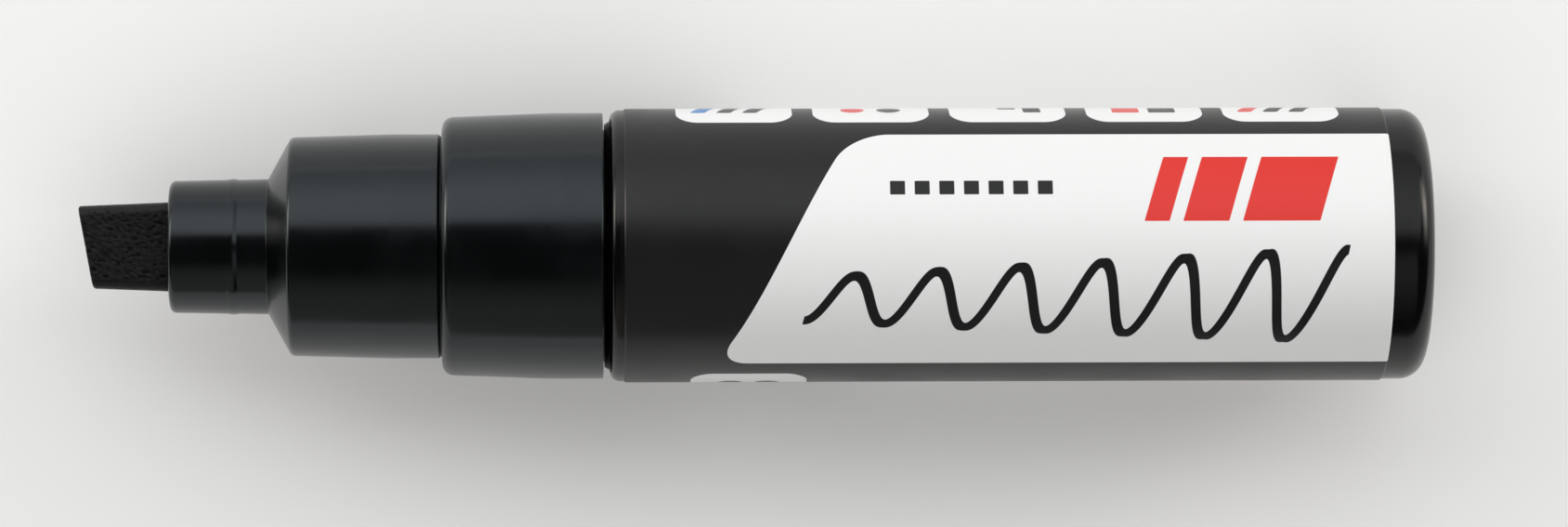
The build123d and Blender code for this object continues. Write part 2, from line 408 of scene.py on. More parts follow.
class NodeSheet:
    """A node tree that is being filled, with short ways to add its nodes and wire them.

    The sockets of a Mix node's share and colours are known by number, because others have the same names.
    """

    mix_inputs = (0, 6, 7)
    mix_output = 2

    def __init__(self, tree: bpy.types.NodeTree) -> None:
        """Keeps the tree to fill."""
        self.tree = tree

    def add(self, kind: str, **settings: object) -> bpy.types.Node:
        """Adds a node.

        Args:
            kind: Blender's name for the node's type.
            settings: Properties to set on it.

        Returns:
            The node.
        """
        node = self.tree.nodes.new(kind)
        for name, value in settings.items():
            setattr(node, name, value)
        return node

    def feed(self, socket: bpy.types.NodeSocket, value: Wire) -> None:
        """Wires a socket to another, or sets its plain value.

        Args:
            socket: The input to feed.
            value: An output socket, a number, a vector or a colour.
        """
        if isinstance(value, bpy.types.NodeSocket):
            self.tree.links.new(value, socket)
        else:
            socket.default_value = value

    def math(self, operation: str, *values: Wire) -> bpy.types.NodeSocket:
        """Adds a Math node.

        Args:
            operation: Its operation.
            values: Its inputs, in order.

        Returns:
            The result's socket.
        """
        node = self.add("ShaderNodeMath", operation=operation)
        for socket, value in zip(node.inputs, values):
            self.feed(socket, value)
        return node.outputs[0]

    def ramp(
        self, value: Wire, low: Wire, high: Wire, to: tuple[float, float] = (0.0, 1.0)
    ) -> bpy.types.NodeSocket:
        """Maps a value smoothly from one range to another, and holds it at the ends.

        Args:
            value: The value to map.
            low: Where the range starts.
            high: Where it ends.
            to: Results at the two ends.

        Returns:
            The result's socket.
        """
        node = self.add("ShaderNodeMapRange", interpolation_type="SMOOTHSTEP")
        for socket, fed in zip(node.inputs, (value, low, high, *to)):
            self.feed(socket, fed)
        return node.outputs[0]

    def blend(self, share: Wire, first: Wire, second: Wire) -> bpy.types.NodeSocket:
        """Mixes two colours.

        Args:
            share: How much of the second shows.
            first: The first colour.
            second: The second colour.

        Returns:
            The mixed colour's socket.
        """
        node = self.add("ShaderNodeMix", data_type="RGBA")
        for number, value in zip(self.mix_inputs, (share, first, second)):
            self.feed(node.inputs[number], value)
        return node.outputs[self.mix_output]

    def noise(self, place: Wire, scale: Wire, detail: float = 2.0) -> bpy.types.NodeSocket:
        """Adds a noise texture.

        Args:
            place: Where it is read.
            scale: Features to a metre.
            detail: How many finer layers it has.

        Returns:
            The socket of its value, from 0 to 1.
        """
        node = self.add("ShaderNodeTexNoise")
        self.feed(node.inputs["Vector"], place)
        self.feed(node.inputs["Scale"], scale)
        self.feed(node.inputs["Detail"], detail)
        return node.outputs[0]

    def drawn_out(self, place: Wire, size: Xyz, lean: float = 0.0) -> bpy.types.NodeSocket:
        """Turns a place about Z and scales it along each axis, so that a pattern read there is drawn out.

        Args:
            place: The place.
            size: Length of one feature of the pattern along X, Y and Z in millimetres.
            lean: Angle by which the pattern is turned about Z.

        Returns:
            The new place's socket.
        """
        node = self.add("ShaderNodeMapping", vector_type="TEXTURE")
        self.feed(node.inputs["Vector"], place)
        self.feed(node.inputs["Rotation"], (0.0, 0.0, lean))
        self.feed(node.inputs["Scale"], tuple(side * MM for side in size))
        return node.outputs[0]

    def levels(self, value: Wire, stops: Stops) -> bpy.types.NodeSocket:
        """Maps a value from 0 to 1 through straight runs between stops.

        Args:
            value: The value to map.
            stops: Places with their results, both from 0 to 1, in rising order.

        Returns:
            The result's socket.
        """
        node = self.add("ShaderNodeValToRGB")
        self.feed(node.inputs["Fac"], value)
        marks = node.color_ramp.elements
        while len(marks) < len(stops):
            marks.new(1.0)
        for mark, (place, level) in zip(marks, stops):
            mark.position = place
            mark.color = rgba((level, level, level))
        return node.outputs["Color"]

    def bump(self, height: Wire, strength: float, depth: float) -> bpy.types.NodeSocket:
        """Adds a bump.

        Args:
            height: Its height, from 0 to 1.
            strength: Its strength.
            depth: Height of the relief in millimetres.

        Returns:
            The socket of its normal.
        """
        node = self.add("ShaderNodeBump")
        self.feed(node.inputs["Height"], height)
        node.inputs["Strength"].default_value = strength
        node.inputs["Distance"].default_value = depth * MM
        return node.outputs[0]

    def effect(self, effect: Effect, inputs: dict[str, Wire]) -> bpy.types.Node:
        """Places a shared shader group.

        Args:
            effect: Which group.
            inputs: Values or sockets by input name.

        Returns:
            The group's node.
        """
        node = self.add("ShaderNodeGroup", node_tree=bpy.data.node_groups[effect.value])
        for name, value in inputs.items():
            self.feed(node.inputs[name], value)
        return node


class SharedEffects:
    """Builds the shader groups that more than one finish uses."""

    socket_kinds = {"Place": "NodeSocketVector"}
    grain_detail = 3.0
    smudge_detail = 4.0
    smudge_range = (0.40, 0.66)
    break_detail = 5.0
    break_range = (0.38, 0.62)

    def open_group(
        self, effect: Effect, inputs: list[str], outputs: list[str]
    ) -> tuple[NodeSheet, bpy.types.Node, bpy.types.Node]:
        """Starts a group with named sockets.

        Args:
            effect: Which group.
            inputs: Names of its inputs.
            outputs: Names of its outputs.

        Returns:
            The group's sheet, its input node and its output node.
        """
        tree = bpy.data.node_groups.new(effect.value, "ShaderNodeTree")
        for name in inputs:
            kind = self.socket_kinds.get(name, "NodeSocketFloat")
            tree.interface.new_socket(name=name, in_out="INPUT", socket_type=kind)
        for name in outputs:
            tree.interface.new_socket(name=name, in_out="OUTPUT", socket_type="NodeSocketFloat")
        sheet = NodeSheet(tree)
        return sheet, sheet.add("NodeGroupInput"), sheet.add("NodeGroupOutput")

    def build(self) -> None:
        """Builds every group once."""
        self.moulded_skin()
        self.handled_edge()
        self.print_shape()

    def moulded_skin(self) -> None:
        """A moulding's skin: fine grain for bump, and broad faint smudges for colour and roughness."""
        sheet, fed, out = self.open_group(
            Effect.MOULDED_SKIN, ["Place", "Grain Scale", "Smudge Scale"], ["Grain", "Smudge"]
        )
        grain = sheet.noise(fed.outputs["Place"], fed.outputs["Grain Scale"], self.grain_detail)
        broad = sheet.noise(fed.outputs["Place"], fed.outputs["Smudge Scale"], self.smudge_detail)
        sheet.feed(out.inputs["Grain"], grain)
        sheet.feed(out.inputs["Smudge"], sheet.ramp(broad, *self.smudge_range))

    def handled_edge(self) -> None:
        """Rubbing by hands and the cap: strongest on convex edges, broken up by noise."""
        sheet, fed, out = self.open_group(Effect.HANDLED_EDGE, ["Place", "Edge", "Break Scale"], ["Rub"])
        patches = sheet.noise(fed.outputs["Place"], fed.outputs["Break Scale"], self.break_detail)
        broken = sheet.ramp(patches, *self.break_range)
        sheet.feed(out.inputs["Rub"], sheet.math("MULTIPLY", broken, fed.outputs["Edge"]))

    def print_shape(self) -> None:
        """A leaning rectangle with round corners.

        The lean shifts each place along the film by Lean times its distance from the shape's middle line. The
        distance to the outline is then that of a rectangle smaller by the corner radius, less the radius.
        """
        form = ["Middle Along", "Middle Around", "Half Length", "Half Height", "Lean", "Corner"]
        sheet, fed, out = self.open_group(Effect.PRINT_SHAPE, ["Along", "Around", *form], ["Mask"])
        across = sheet.math("SUBTRACT", fed.outputs["Around"], fed.outputs["Middle Around"])
        shift = sheet.math("MULTIPLY_ADD", across, fed.outputs["Lean"], fed.outputs["Middle Along"])
        length = sheet.math("ABSOLUTE", sheet.math("SUBTRACT", fed.outputs["Along"], shift))
        over_length = self.past_core(sheet, length, fed.outputs["Half Length"], fed.outputs["Corner"])
        height = sheet.math("ABSOLUTE", across)
        over_height = self.past_core(sheet, height, fed.outputs["Half Height"], fed.outputs["Corner"])
        inside = sheet.math("MINIMUM", sheet.math("MAXIMUM", over_length, over_height), 0.0)
        outer_length = sheet.math("MAXIMUM", over_length, 0.0)
        outer_height = sheet.math("MAXIMUM", over_height, 0.0)
        height_square = sheet.math("POWER", outer_height, 2.0)
        squares = sheet.math("MULTIPLY_ADD", outer_length, outer_length, height_square)
        distance = sheet.math("ADD", sheet.math("SQRT", squares), inside)
        over = sheet.math("SUBTRACT", distance, fed.outputs["Corner"])
        mask = sheet.ramp(over, -PRINT_SOFTNESS, PRINT_SOFTNESS, (1.0, 0.0))
        sheet.feed(out.inputs["Mask"], mask)

    def past_core(self, sheet: NodeSheet, size: Wire, half: Wire, corner: Wire) -> bpy.types.NodeSocket:
        """How far a place lies past the shape's core: its distance, less the half size, plus the corner."""
        return sheet.math("ADD", sheet.math("SUBTRACT", size, half), corner)


def rgba(colour: Rgb) -> tuple[float, float, float, float]:
    """A colour with full alpha."""
    return (*colour, 1.0)


def scaled(colour: Rgb, factor: float) -> tuple[float, float, float, float]:
    """A colour made lighter or darker, with full alpha."""
    return rgba(tuple(factor * part for part in colour))


def open_material(name: str) -> tuple[bpy.types.Material, NodeSheet, bpy.types.Node, bpy.types.NodeSocket]:
    """Starts a material with a Principled shader.

    Args:
        name: The material's name.

    Returns:
        The material, its sheet, its shader, and the socket of the Object coordinates.
    """
    material = bpy.data.materials.new(name)
    material.use_nodes = True
    material.node_tree.nodes.clear()
    sheet = NodeSheet(material.node_tree)
    shader = sheet.add("ShaderNodeBsdfPrincipled")
    output = sheet.add("ShaderNodeOutputMaterial")
    sheet.feed(output.inputs["Surface"], shader.outputs[0])
    return material, sheet, shader, sheet.add("ShaderNodeTexCoord").outputs["Object"]


@dataclass(frozen=True)
class MouldedPlastic:
    """A glossy or dull moulded plastic or rubber, with fine grain, smudges and edges rubbed by handling."""

    name: str
    base: Rgb
    roughness: float
    ior: float = 1.45
    tint: Rgb = (1.0, 1.0, 1.0)
    smudge_roughness: float = 0.05
    smudge_lift: float = 1.35
    rub_lift: float = 2.2
    rub_polish: float = 0.05
    grain_scale: float = 5200.0
    smudge_scale: float = 150.0
    break_scale: float = 700.0
    grain_strength: float = 0.10
    grain_depth: float = 0.010

    def material(self) -> bpy.types.Material:
        """Wires the finish.

        Returns:
            The material, which reads the attribute "edge" where a piece has one.
        """
        material, sheet, shader, place = open_material(self.name)
        skin = sheet.effect(
            Effect.MOULDED_SKIN,
            {"Place": place, "Grain Scale": self.grain_scale, "Smudge Scale": self.smudge_scale},
        )
        edge = sheet.add("ShaderNodeAttribute", attribute_name="edge").outputs["Fac"]
        rub = sheet.effect(
            Effect.HANDLED_EDGE, {"Place": place, "Edge": edge, "Break Scale": self.break_scale}
        ).outputs["Rub"]
        smudge = skin.outputs["Smudge"]
        colour = sheet.blend(smudge, rgba(self.base), scaled(self.base, self.smudge_lift))
        sheet.feed(shader.inputs["Base Color"], sheet.blend(rub, colour, scaled(self.base, self.rub_lift)))
        dulled = sheet.math("MULTIPLY_ADD", smudge, self.smudge_roughness, self.roughness)
        sheet.feed(shader.inputs["Roughness"], sheet.math("MULTIPLY_ADD", rub, -self.rub_polish, dulled))
        sheet.feed(
            shader.inputs["Normal"], sheet.bump(skin.outputs["Grain"], self.grain_strength, self.grain_depth)
        )
        shader.inputs["IOR"].default_value = self.ior
        shader.inputs["Specular Tint"].default_value = rgba(self.tint)
        return material


@dataclass(frozen=True)
class BareSteel:
    """Bare steel with fine marks drawn out along one axis."""

    name: str
    base: Rgb
    roughness: float
    mark_size: Xyz
    mark_detail: float = 3.0
    mark_roughness: float = 0.14
    mark_strength: float = 0.2
    mark_depth: float = 0.004
    grain_scale: float = 3000.0
    smudge_scale: float = 400.0
    smudge_shade: float = 0.86

    def material(self) -> bpy.types.Material:
        """Wires the finish.

        Returns:
            The material.
        """
        material, sheet, shader, place = open_material(self.name)
        marks = sheet.noise(sheet.drawn_out(place, self.mark_size), 1.0, self.mark_detail)
        skin = sheet.effect(
            Effect.MOULDED_SKIN,
            {"Place": place, "Grain Scale": self.grain_scale, "Smudge Scale": self.smudge_scale},
        )
        smudged = scaled(self.base, self.smudge_shade)
        sheet.feed(shader.inputs["Base Color"], sheet.blend(skin.outputs["Smudge"], rgba(self.base), smudged))
        rough = sheet.math("MULTIPLY_ADD", marks, self.mark_roughness, self.roughness)
        sheet.feed(shader.inputs["Roughness"], rough)
        sheet.feed(shader.inputs["Normal"], sheet.bump(marks, self.mark_strength, self.mark_depth))
        shader.inputs["Metallic"].default_value = 1.0
        return material


@dataclass(frozen=True)
class PorousFibre:
    """Pressed black fibre: pits from the mesh darkened by painted shade, drawn-out strands and flecks, and
    smoother sides.

    A range is the stretch of a pattern or attribute over which its effect comes in. A shade is a share of the
    raised fibre's colour.
    """

    name: str
    raised: Rgb = (0.0074, 0.0076, 0.0078)
    # Painted shade: the colour laid into the pits, reached as a place lies deeper in a pit
    shaded_pit: Rgb = (0.0010, 0.0010, 0.0011)
    pit_shadow_range: tuple[float, float] = (0.05, 0.50)
    skin: Rgb = (0.0085, 0.0092, 0.0096)
    skin_polish: float = 0.16
    skin_calm: float = 0.8
    roughness: tuple[float, float] = (0.48, 0.90)
    roughness_range: tuple[float, float] = (0.3, 0.9)
    strand_size: Xyz = (0.42, 0.20, 0.20)
    strand_range: tuple[float, float] = (0.36, 0.64)
    strand_shades: tuple[float, float] = (0.62, 1.30)
    fleck_size: Xyz = (0.62, 0.27, 0.27)
    fleck_range: tuple[float, float] = (0.50, 0.66)
    fleck_shade: float = 0.28
    fleck_sink: float = 1.2
    detail: float = 3.0
    lean: float = -0.25
    relief: float = 0.06
    relief_strength: float = 0.6
    specular_level: float = 0.20

    def material(self) -> bpy.types.Material:
        """Wires the finish.

        Returns:
            The material, which reads the attributes "pore" and "skin".
        """
        material, sheet, shader, place = open_material(self.name)
        pore = sheet.add("ShaderNodeAttribute", attribute_name="pore").outputs["Fac"]
        skin = sheet.add("ShaderNodeAttribute", attribute_name="skin").outputs["Fac"]
        strands = sheet.noise(sheet.drawn_out(place, self.strand_size, self.lean), 1.0, self.detail)
        flecks = sheet.noise(sheet.drawn_out(place, self.fleck_size, self.lean), 1.0, self.detail)
        dark, light = (scaled(self.raised, shade) for shade in self.strand_shades)
        fibre = sheet.blend(sheet.ramp(strands, *self.strand_range), dark, light)
        flecked = scaled(self.raised, self.fleck_shade)
        worn = sheet.blend(sheet.ramp(flecks, *self.fleck_range), fibre, flecked)
        # Painted shade: the fibre's colour darkens towards the pit colour with the depth of each pit
        pit_shadowed = sheet.blend(sheet.ramp(pore, *self.pit_shadow_range), worn, rgba(self.shaded_pit))
        sheet.feed(shader.inputs["Base Color"], sheet.blend(skin, pit_shadowed, rgba(self.skin)))
        rough = sheet.ramp(sheet.math("MAXIMUM", pore, flecks), *self.roughness_range, self.roughness)
        sheet.feed(shader.inputs["Roughness"], sheet.math("MULTIPLY_ADD", skin, -self.skin_polish, rough))
        height = sheet.math("MULTIPLY_ADD", flecks, -self.fleck_sink, strands)
        bare = sheet.math("MULTIPLY_ADD", skin, -self.skin_calm, 1.0)
        relief = sheet.math("MULTIPLY", height, bare)
        sheet.feed(shader.inputs["Normal"], sheet.bump(relief, self.relief_strength, self.relief))
        shader.inputs["Specular IOR Level"].default_value = self.specular_level
        return material


@dataclass(frozen=True)
class PrintShape:
    """A printed shape, in millimetres along the film from its front edge and round it from the top line."""

    ink: Ink
    along: float
    around: float
    half_length: float
    half_height: float
    lean: float = 0.0
    corner: float = 0.1


@dataclass(frozen=True)
class Scribble:
    """A sample stroke: a leaning wave that grows taller, of one pen width."""

    ink: Ink = Ink.BLACK
    start: float = 17.5
    end: float = 68.0
    middle: float = -5.4
    waves: float = 6.5
    first_height: float = 2.2
    last_height: float = 4.8
    width: float = 0.95
    lean: float = 0.22

    def mask(self, sheet: NodeSheet, along: Wire, around: Wire) -> bpy.types.NodeSocket:
        """Masks the stroke.

        The stroke's middle line is minus height times the cosine of the distance along it, so that it starts
        in a trough and ends on a crest. A place belongs to the stroke if its distance from that line, divided
        by the square root of one plus the slope squared, is under half the width.

        Args:
            sheet: The film's sheet.
            along: Distance along the film.
            around: Distance round the film from the top line.

        Returns:
            The mask's socket.
        """
        across = sheet.math("SUBTRACT", around, self.middle)
        upright = sheet.math("MULTIPLY_ADD", across, -self.lean, along)
        height = sheet.add("ShaderNodeMapRange")
        limits = (self.start, self.end, self.first_height, self.last_height)
        for socket, value in zip(height.inputs, (upright, *limits)):
            sheet.feed(socket, value)
        pace = TURN * self.waves / (self.end - self.start)
        phase = sheet.math("MULTIPLY", sheet.math("SUBTRACT", upright, self.start), pace)
        line = sheet.math("MULTIPLY", height.outputs[0], sheet.math("COSINE", phase))
        steepest = sheet.math("MULTIPLY", height.outputs[0], pace)
        steep = sheet.math("MULTIPLY", steepest, sheet.math("SINE", phase))
        stretch = sheet.math("SQRT", sheet.math("MULTIPLY_ADD", steep, steep, 1.0))
        away = sheet.math("DIVIDE", sheet.math("ABSOLUTE", sheet.math("ADD", across, line)), stretch)
        half = self.width / 2.0
        stroke = sheet.ramp(away, half - PRINT_SOFTNESS, half + PRINT_SOFTNESS, (1.0, 0.0))
        begun = sheet.math("GREATER_THAN", upright, self.start)
        ended = sheet.math("LESS_THAN", upright, self.end)
        return sheet.math("MULTIPLY", stroke, sheet.math("MULTIPLY", begun, ended))


@dataclass(frozen=True)
class FilmArtwork:
    """The film's plain design: a leaning panel with red bars and squares, rows of tiles, and pinstripes."""

    panel_end: float = 92.0
    panel_front: float = 8.5
    panel_low: float = -13.6
    panel_high: float = 12.2
    panel_lean: float = 0.52
    panel_corner: float = 3.4
    bar_start: float = 50.5
    bar_lengths: tuple[float, ...] = (2.4, 4.4, 7.4)
    bar_gap: float = 1.3
    bar_middle: float = 5.6
    bar_half_height: float = 3.4
    bar_lean: float = 0.30
    square_start: float = 26.0
    square_pitch: float = 2.35
    square_count: int = 7
    square_half: float = 0.72
    square_middle: float = 5.6
    tile_places: tuple[float, ...] = (10.6, 23.8, 37.0, 50.2, 63.4)
    tile_middle: float = 20.1
    tile_half: float = 5.6
    tile_corner: float = 2.2
    tile_looks: tuple[tuple[Motif, Ink], ...] = (
        (Motif.BARS, Ink.BLUE),
        (Motif.DOTS, Ink.RED),
        (Motif.STEPS, Ink.BLUE),
        (Motif.PANES, Ink.RED),
        (Motif.BARS, Ink.RED),
        (Motif.DOTS, Ink.BLUE),
    )
    lone_tile: float = 12.0
    lone_tile_middle: float = -21.5
    pinstripe_middles: tuple[float, ...] = (-20.6, -22.4)
    pinstripe_along: float = 46.0
    pinstripe_half_length: float = 22.0
    pinstripe_half: float = 0.28

    def both_faces(self) -> list[PrintShape]:
        """Shapes that stand on the front of the film and again on its back.

        Returns:
            The panel, the bars and the squares, in the order of printing.
        """
        front = self.panel_front + self.panel_lean * (self.panel_high - self.panel_low) / 2.0
        panel = PrintShape(
            Ink.WHITE,
            along=(front + self.panel_end) / 2.0,
            around=(self.panel_low + self.panel_high) / 2.0,
            half_length=(self.panel_end - front) / 2.0,
            half_height=(self.panel_high - self.panel_low) / 2.0,
            lean=self.panel_lean,
            corner=self.panel_corner,
        )
        advances = [length + self.bar_gap for length in self.bar_lengths[:-1]]
        starts = self.bar_start + np.cumsum((0.0, *advances))
        bars = [
            PrintShape(
                Ink.RED,
                along=float(start) + length / 2.0,
                around=self.bar_middle,
                half_length=length / 2.0,
                half_height=self.bar_half_height,
                lean=self.bar_lean,
            )
            for start, length in zip(starts, self.bar_lengths)
        ]
        squares = [
            PrintShape(
                Ink.BLACK,
                along=self.square_start + self.square_pitch * number,
                around=self.square_middle,
                half_length=self.square_half,
                half_height=self.square_half,
            )
            for number in range(self.square_count)
        ]
        return [panel, *bars, *squares]

    def tiles(self) -> list[PrintShape]:
        """Tiles along the film's two sides, each with plain marks, the first one coloured, and pinstripes.

        Returns:
            The shapes in the order of printing.
        """
        shapes = []
        middles = [(place, self.tile_middle) for place in self.tile_places]
        middles.append((self.lone_tile, self.lone_tile_middle))
        half = self.tile_half
        for (along, around), (motif, ink) in zip(middles, self.tile_looks):
            shapes.append(PrintShape(Ink.WHITE, along, around, half, half, corner=self.tile_corner))
            inks = [ink] + [Ink.BLACK] * (len(motif.value) - 1)
            shapes += [
                PrintShape(
                    mark_ink,
                    along=along + mark.right,
                    around=around + mark.up,
                    half_length=mark.half_length,
                    half_height=mark.half_height,
                    lean=mark.lean,
                    corner=mark.corner,
                )
                for mark, mark_ink in zip(motif.value, inks)
            ]
        shapes += [
            PrintShape(
                Ink.WHITE,
                along=self.pinstripe_along,
                around=around,
                half_length=self.pinstripe_half_length,
                half_height=self.pinstripe_half,
                corner=self.pinstripe_half,
            )
            for around in self.pinstripe_middles
        ]
        return shapes


@dataclass(frozen=True)
class PrintedFilm:
    """The satin film: inks laid over each other, faint mottling, and a slightly uneven skin."""

    name: str
    artwork: FilmArtwork
    scribble: Scribble
    roughness: float = 0.30
    ior: float = 1.40
    mottle_scale: float = 3600.0
    mottle_shades: tuple[float, float] = (0.8, 1.3)
    skin_scale: float = 620.0
    skin_strength: float = 0.12
    skin_depth: float = 0.012
    smudge_scale: float = 130.0
    smudge_roughness: float = 0.06

    def material(self, axis: MarkerAxis, front: float, radius: float) -> bpy.types.Material:
        """Wires the finish. The distance round the film is its radius times the angle from the top line.

        Args:
            axis: The marker's axis.
            front: Station of the film's front edge in millimetres.
            radius: The film's outer radius in millimetres.

        Returns:
            The material.
        """
        material, sheet, shader, place = open_material(self.name)
        parts = sheet.add("ShaderNodeSeparateXYZ")
        sheet.feed(parts.inputs[0], place)
        along = sheet.math("MULTIPLY_ADD", parts.outputs["X"], 1.0 / MM, -axis.tip / MM - front)
        above = sheet.math("SUBTRACT", parts.outputs["Z"], axis.height)
        around = sheet.math("MULTIPLY", sheet.math("ARCTAN2", parts.outputs["Y"], above), radius)
        quarter = TURN * radius / 4.0
        repeated = sheet.math("WRAP", around, quarter, -quarter)
        dark, light = (scaled(Ink.BLACK.value, shade) for shade in self.mottle_shades)
        colour = sheet.blend(sheet.noise(place, self.mottle_scale), dark, light)
        for shape in self.artwork.both_faces():
            colour = self.printed(sheet, colour, shape, along, repeated)
        stroke = self.scribble.mask(sheet, along, repeated)
        colour = sheet.blend(stroke, colour, rgba(self.scribble.ink.value))
        for shape in self.artwork.tiles():
            colour = self.printed(sheet, colour, shape, along, around)
        sheet.feed(shader.inputs["Base Color"], colour)
        skin = sheet.effect(
            Effect.MOULDED_SKIN,
            {"Place": place, "Grain Scale": self.skin_scale, "Smudge Scale": self.smudge_scale},
        )
        rough = sheet.math("MULTIPLY_ADD", skin.outputs["Smudge"], self.smudge_roughness, self.roughness)
        sheet.feed(shader.inputs["Roughness"], rough)
        bump = sheet.bump(skin.outputs["Grain"], self.skin_strength, self.skin_depth)
        sheet.feed(shader.inputs["Normal"], bump)
        shader.inputs["IOR"].default_value = self.ior
        return material

    def printed(
        self, sheet: NodeSheet, colour: Wire, shape: PrintShape, along: Wire, around: Wire
    ) -> bpy.types.NodeSocket:
        """Lays one shape over the colours so far.

        Args:
            sheet: The film's sheet.
            colour: The colours so far.
            shape: The shape to print.
            along: Distance along the film.
            around: Distance round it.

        Returns:
            The new colour's socket.
        """
        mask = sheet.effect(
            Effect.PRINT_SHAPE,
            {
                "Along": along,
                "Around": around,
                "Middle Along": shape.along,
                "Middle Around": shape.around,
                "Half Length": shape.half_length,
                "Half Height": shape.half_height,
                "Lean": shape.lean,
                "Corner": shape.corner,
            },
        )
        return sheet.blend(mask.outputs["Mask"], colour, rgba(shape.ink.value))


# Whole numbers that stir a lattice cell's coordinates into a repeatable number
CELL_FACTORS = (73856093, 19349663, 83492791)
SALT_FACTOR = 2654435
SALT_START = 97
STIRS = ((15, 2246822519), (13, 3266489917))
LAST_SHIFT = 16
WORD_RANGE = 2.0**32


def cell_numbers(cells: np.ndarray, salt: int) -> np.ndarray:
    """Gives every lattice cell a repeatable number from 0 to 1.

    The three whole coordinates are multiplied by large odd numbers and joined by exclusive or, and the result
    is stirred by shifts and products.

    Args:
        cells: Whole coordinates, with the coordinate as the last index.
        salt: Picks one of many such sets of numbers.

    Returns:
        One number for each cell.
    """
    whole = cells.astype(np.int64).astype(np.uint32)
    mixed = np.bitwise_xor.reduce(whole * np.array(CELL_FACTORS, np.uint32), axis=-1)
    mixed = mixed ^ np.uint32(salt * SALT_FACTOR + SALT_START)
    for shift, factor in STIRS:
        mixed = (mixed ^ (mixed >> np.uint32(shift))) * np.uint32(factor)
    return (mixed ^ (mixed >> np.uint32(LAST_SHIFT))).astype(float) / WORD_RANGE


@dataclass(frozen=True)
class Pores:
    """Random pits of a pressed fibre block: the lattice and the depth in millimetres, the radii in cells."""

    cell: Xyz = (0.60, 0.34, 0.34)
    least_radius: float = 0.30
    most_radius: float = 0.72
    filled_share: float = 0.05
    least_strength: float = 0.45
    strength_spread: float = 0.55
    lean: float = 0.25
    depth: float = 0.14
    place_salts: tuple[int, ...] = (1, 2, 3)
    radius_salt: int = 4
    presence_salt: int = 5
    strength_salt: int = 6

    def field(self, places: np.ndarray) -> np.ndarray:
        """How deep each place lies in a pit, from 0 to 1.

        The lattice leans: its Y is Y plus lean times X. Each lattice cell holds one pit at a random place and
        of a random size. A place takes the deepest of the pits of its own cell and the 26 around it, each a
        dome of one minus the squared distance over the squared radius.

        Args:
            places: Places in millimetres, with the coordinate as the last index.

        Returns:
            One value for each place.
        """
        x, y, z = np.moveaxis(places, -1, 0)
        lattice = np.stack([x, y + self.lean * x, z], axis=-1) / np.array(self.cell)
        steps = np.arange(-1, 2)
        around = np.stack(np.meshgrid(steps, steps, steps, indexing="ij"), axis=-1).reshape(-1, 3)
        cells = np.floor(lattice)[..., None, :] + around
        seeds = cells + np.stack([cell_numbers(cells, salt) for salt in self.place_salts], axis=-1)
        spread = self.most_radius - self.least_radius
        radius = self.least_radius + spread * cell_numbers(cells, self.radius_salt) ** 2
        present = cell_numbers(cells, self.presence_salt) > self.filled_share
        distance = ((lattice[..., None, :] - seeds) ** 2).sum(axis=-1)
        dome = np.clip(1.0 - distance / radius**2, 0.0, 1.0) * present
        strength = self.least_strength + self.strength_spread * cell_numbers(cells, self.strength_salt)
        return (dome * strength).max(axis=-1)


def stretch_rows(stretches: list[np.ndarray], *values: np.ndarray | float) -> np.ndarray:
    """Joins the values of several stretches of rows.

    Args:
        stretches: The rows of each stretch.
        values: For each stretch a value for every row, or one number that holds all over it.

    Returns:
        One value for each row, as a column.
    """
    filled = [np.broadcast_to(value, rows.shape) for value, rows in zip(values, stretches)]
    return np.concatenate(filled)[:, None]


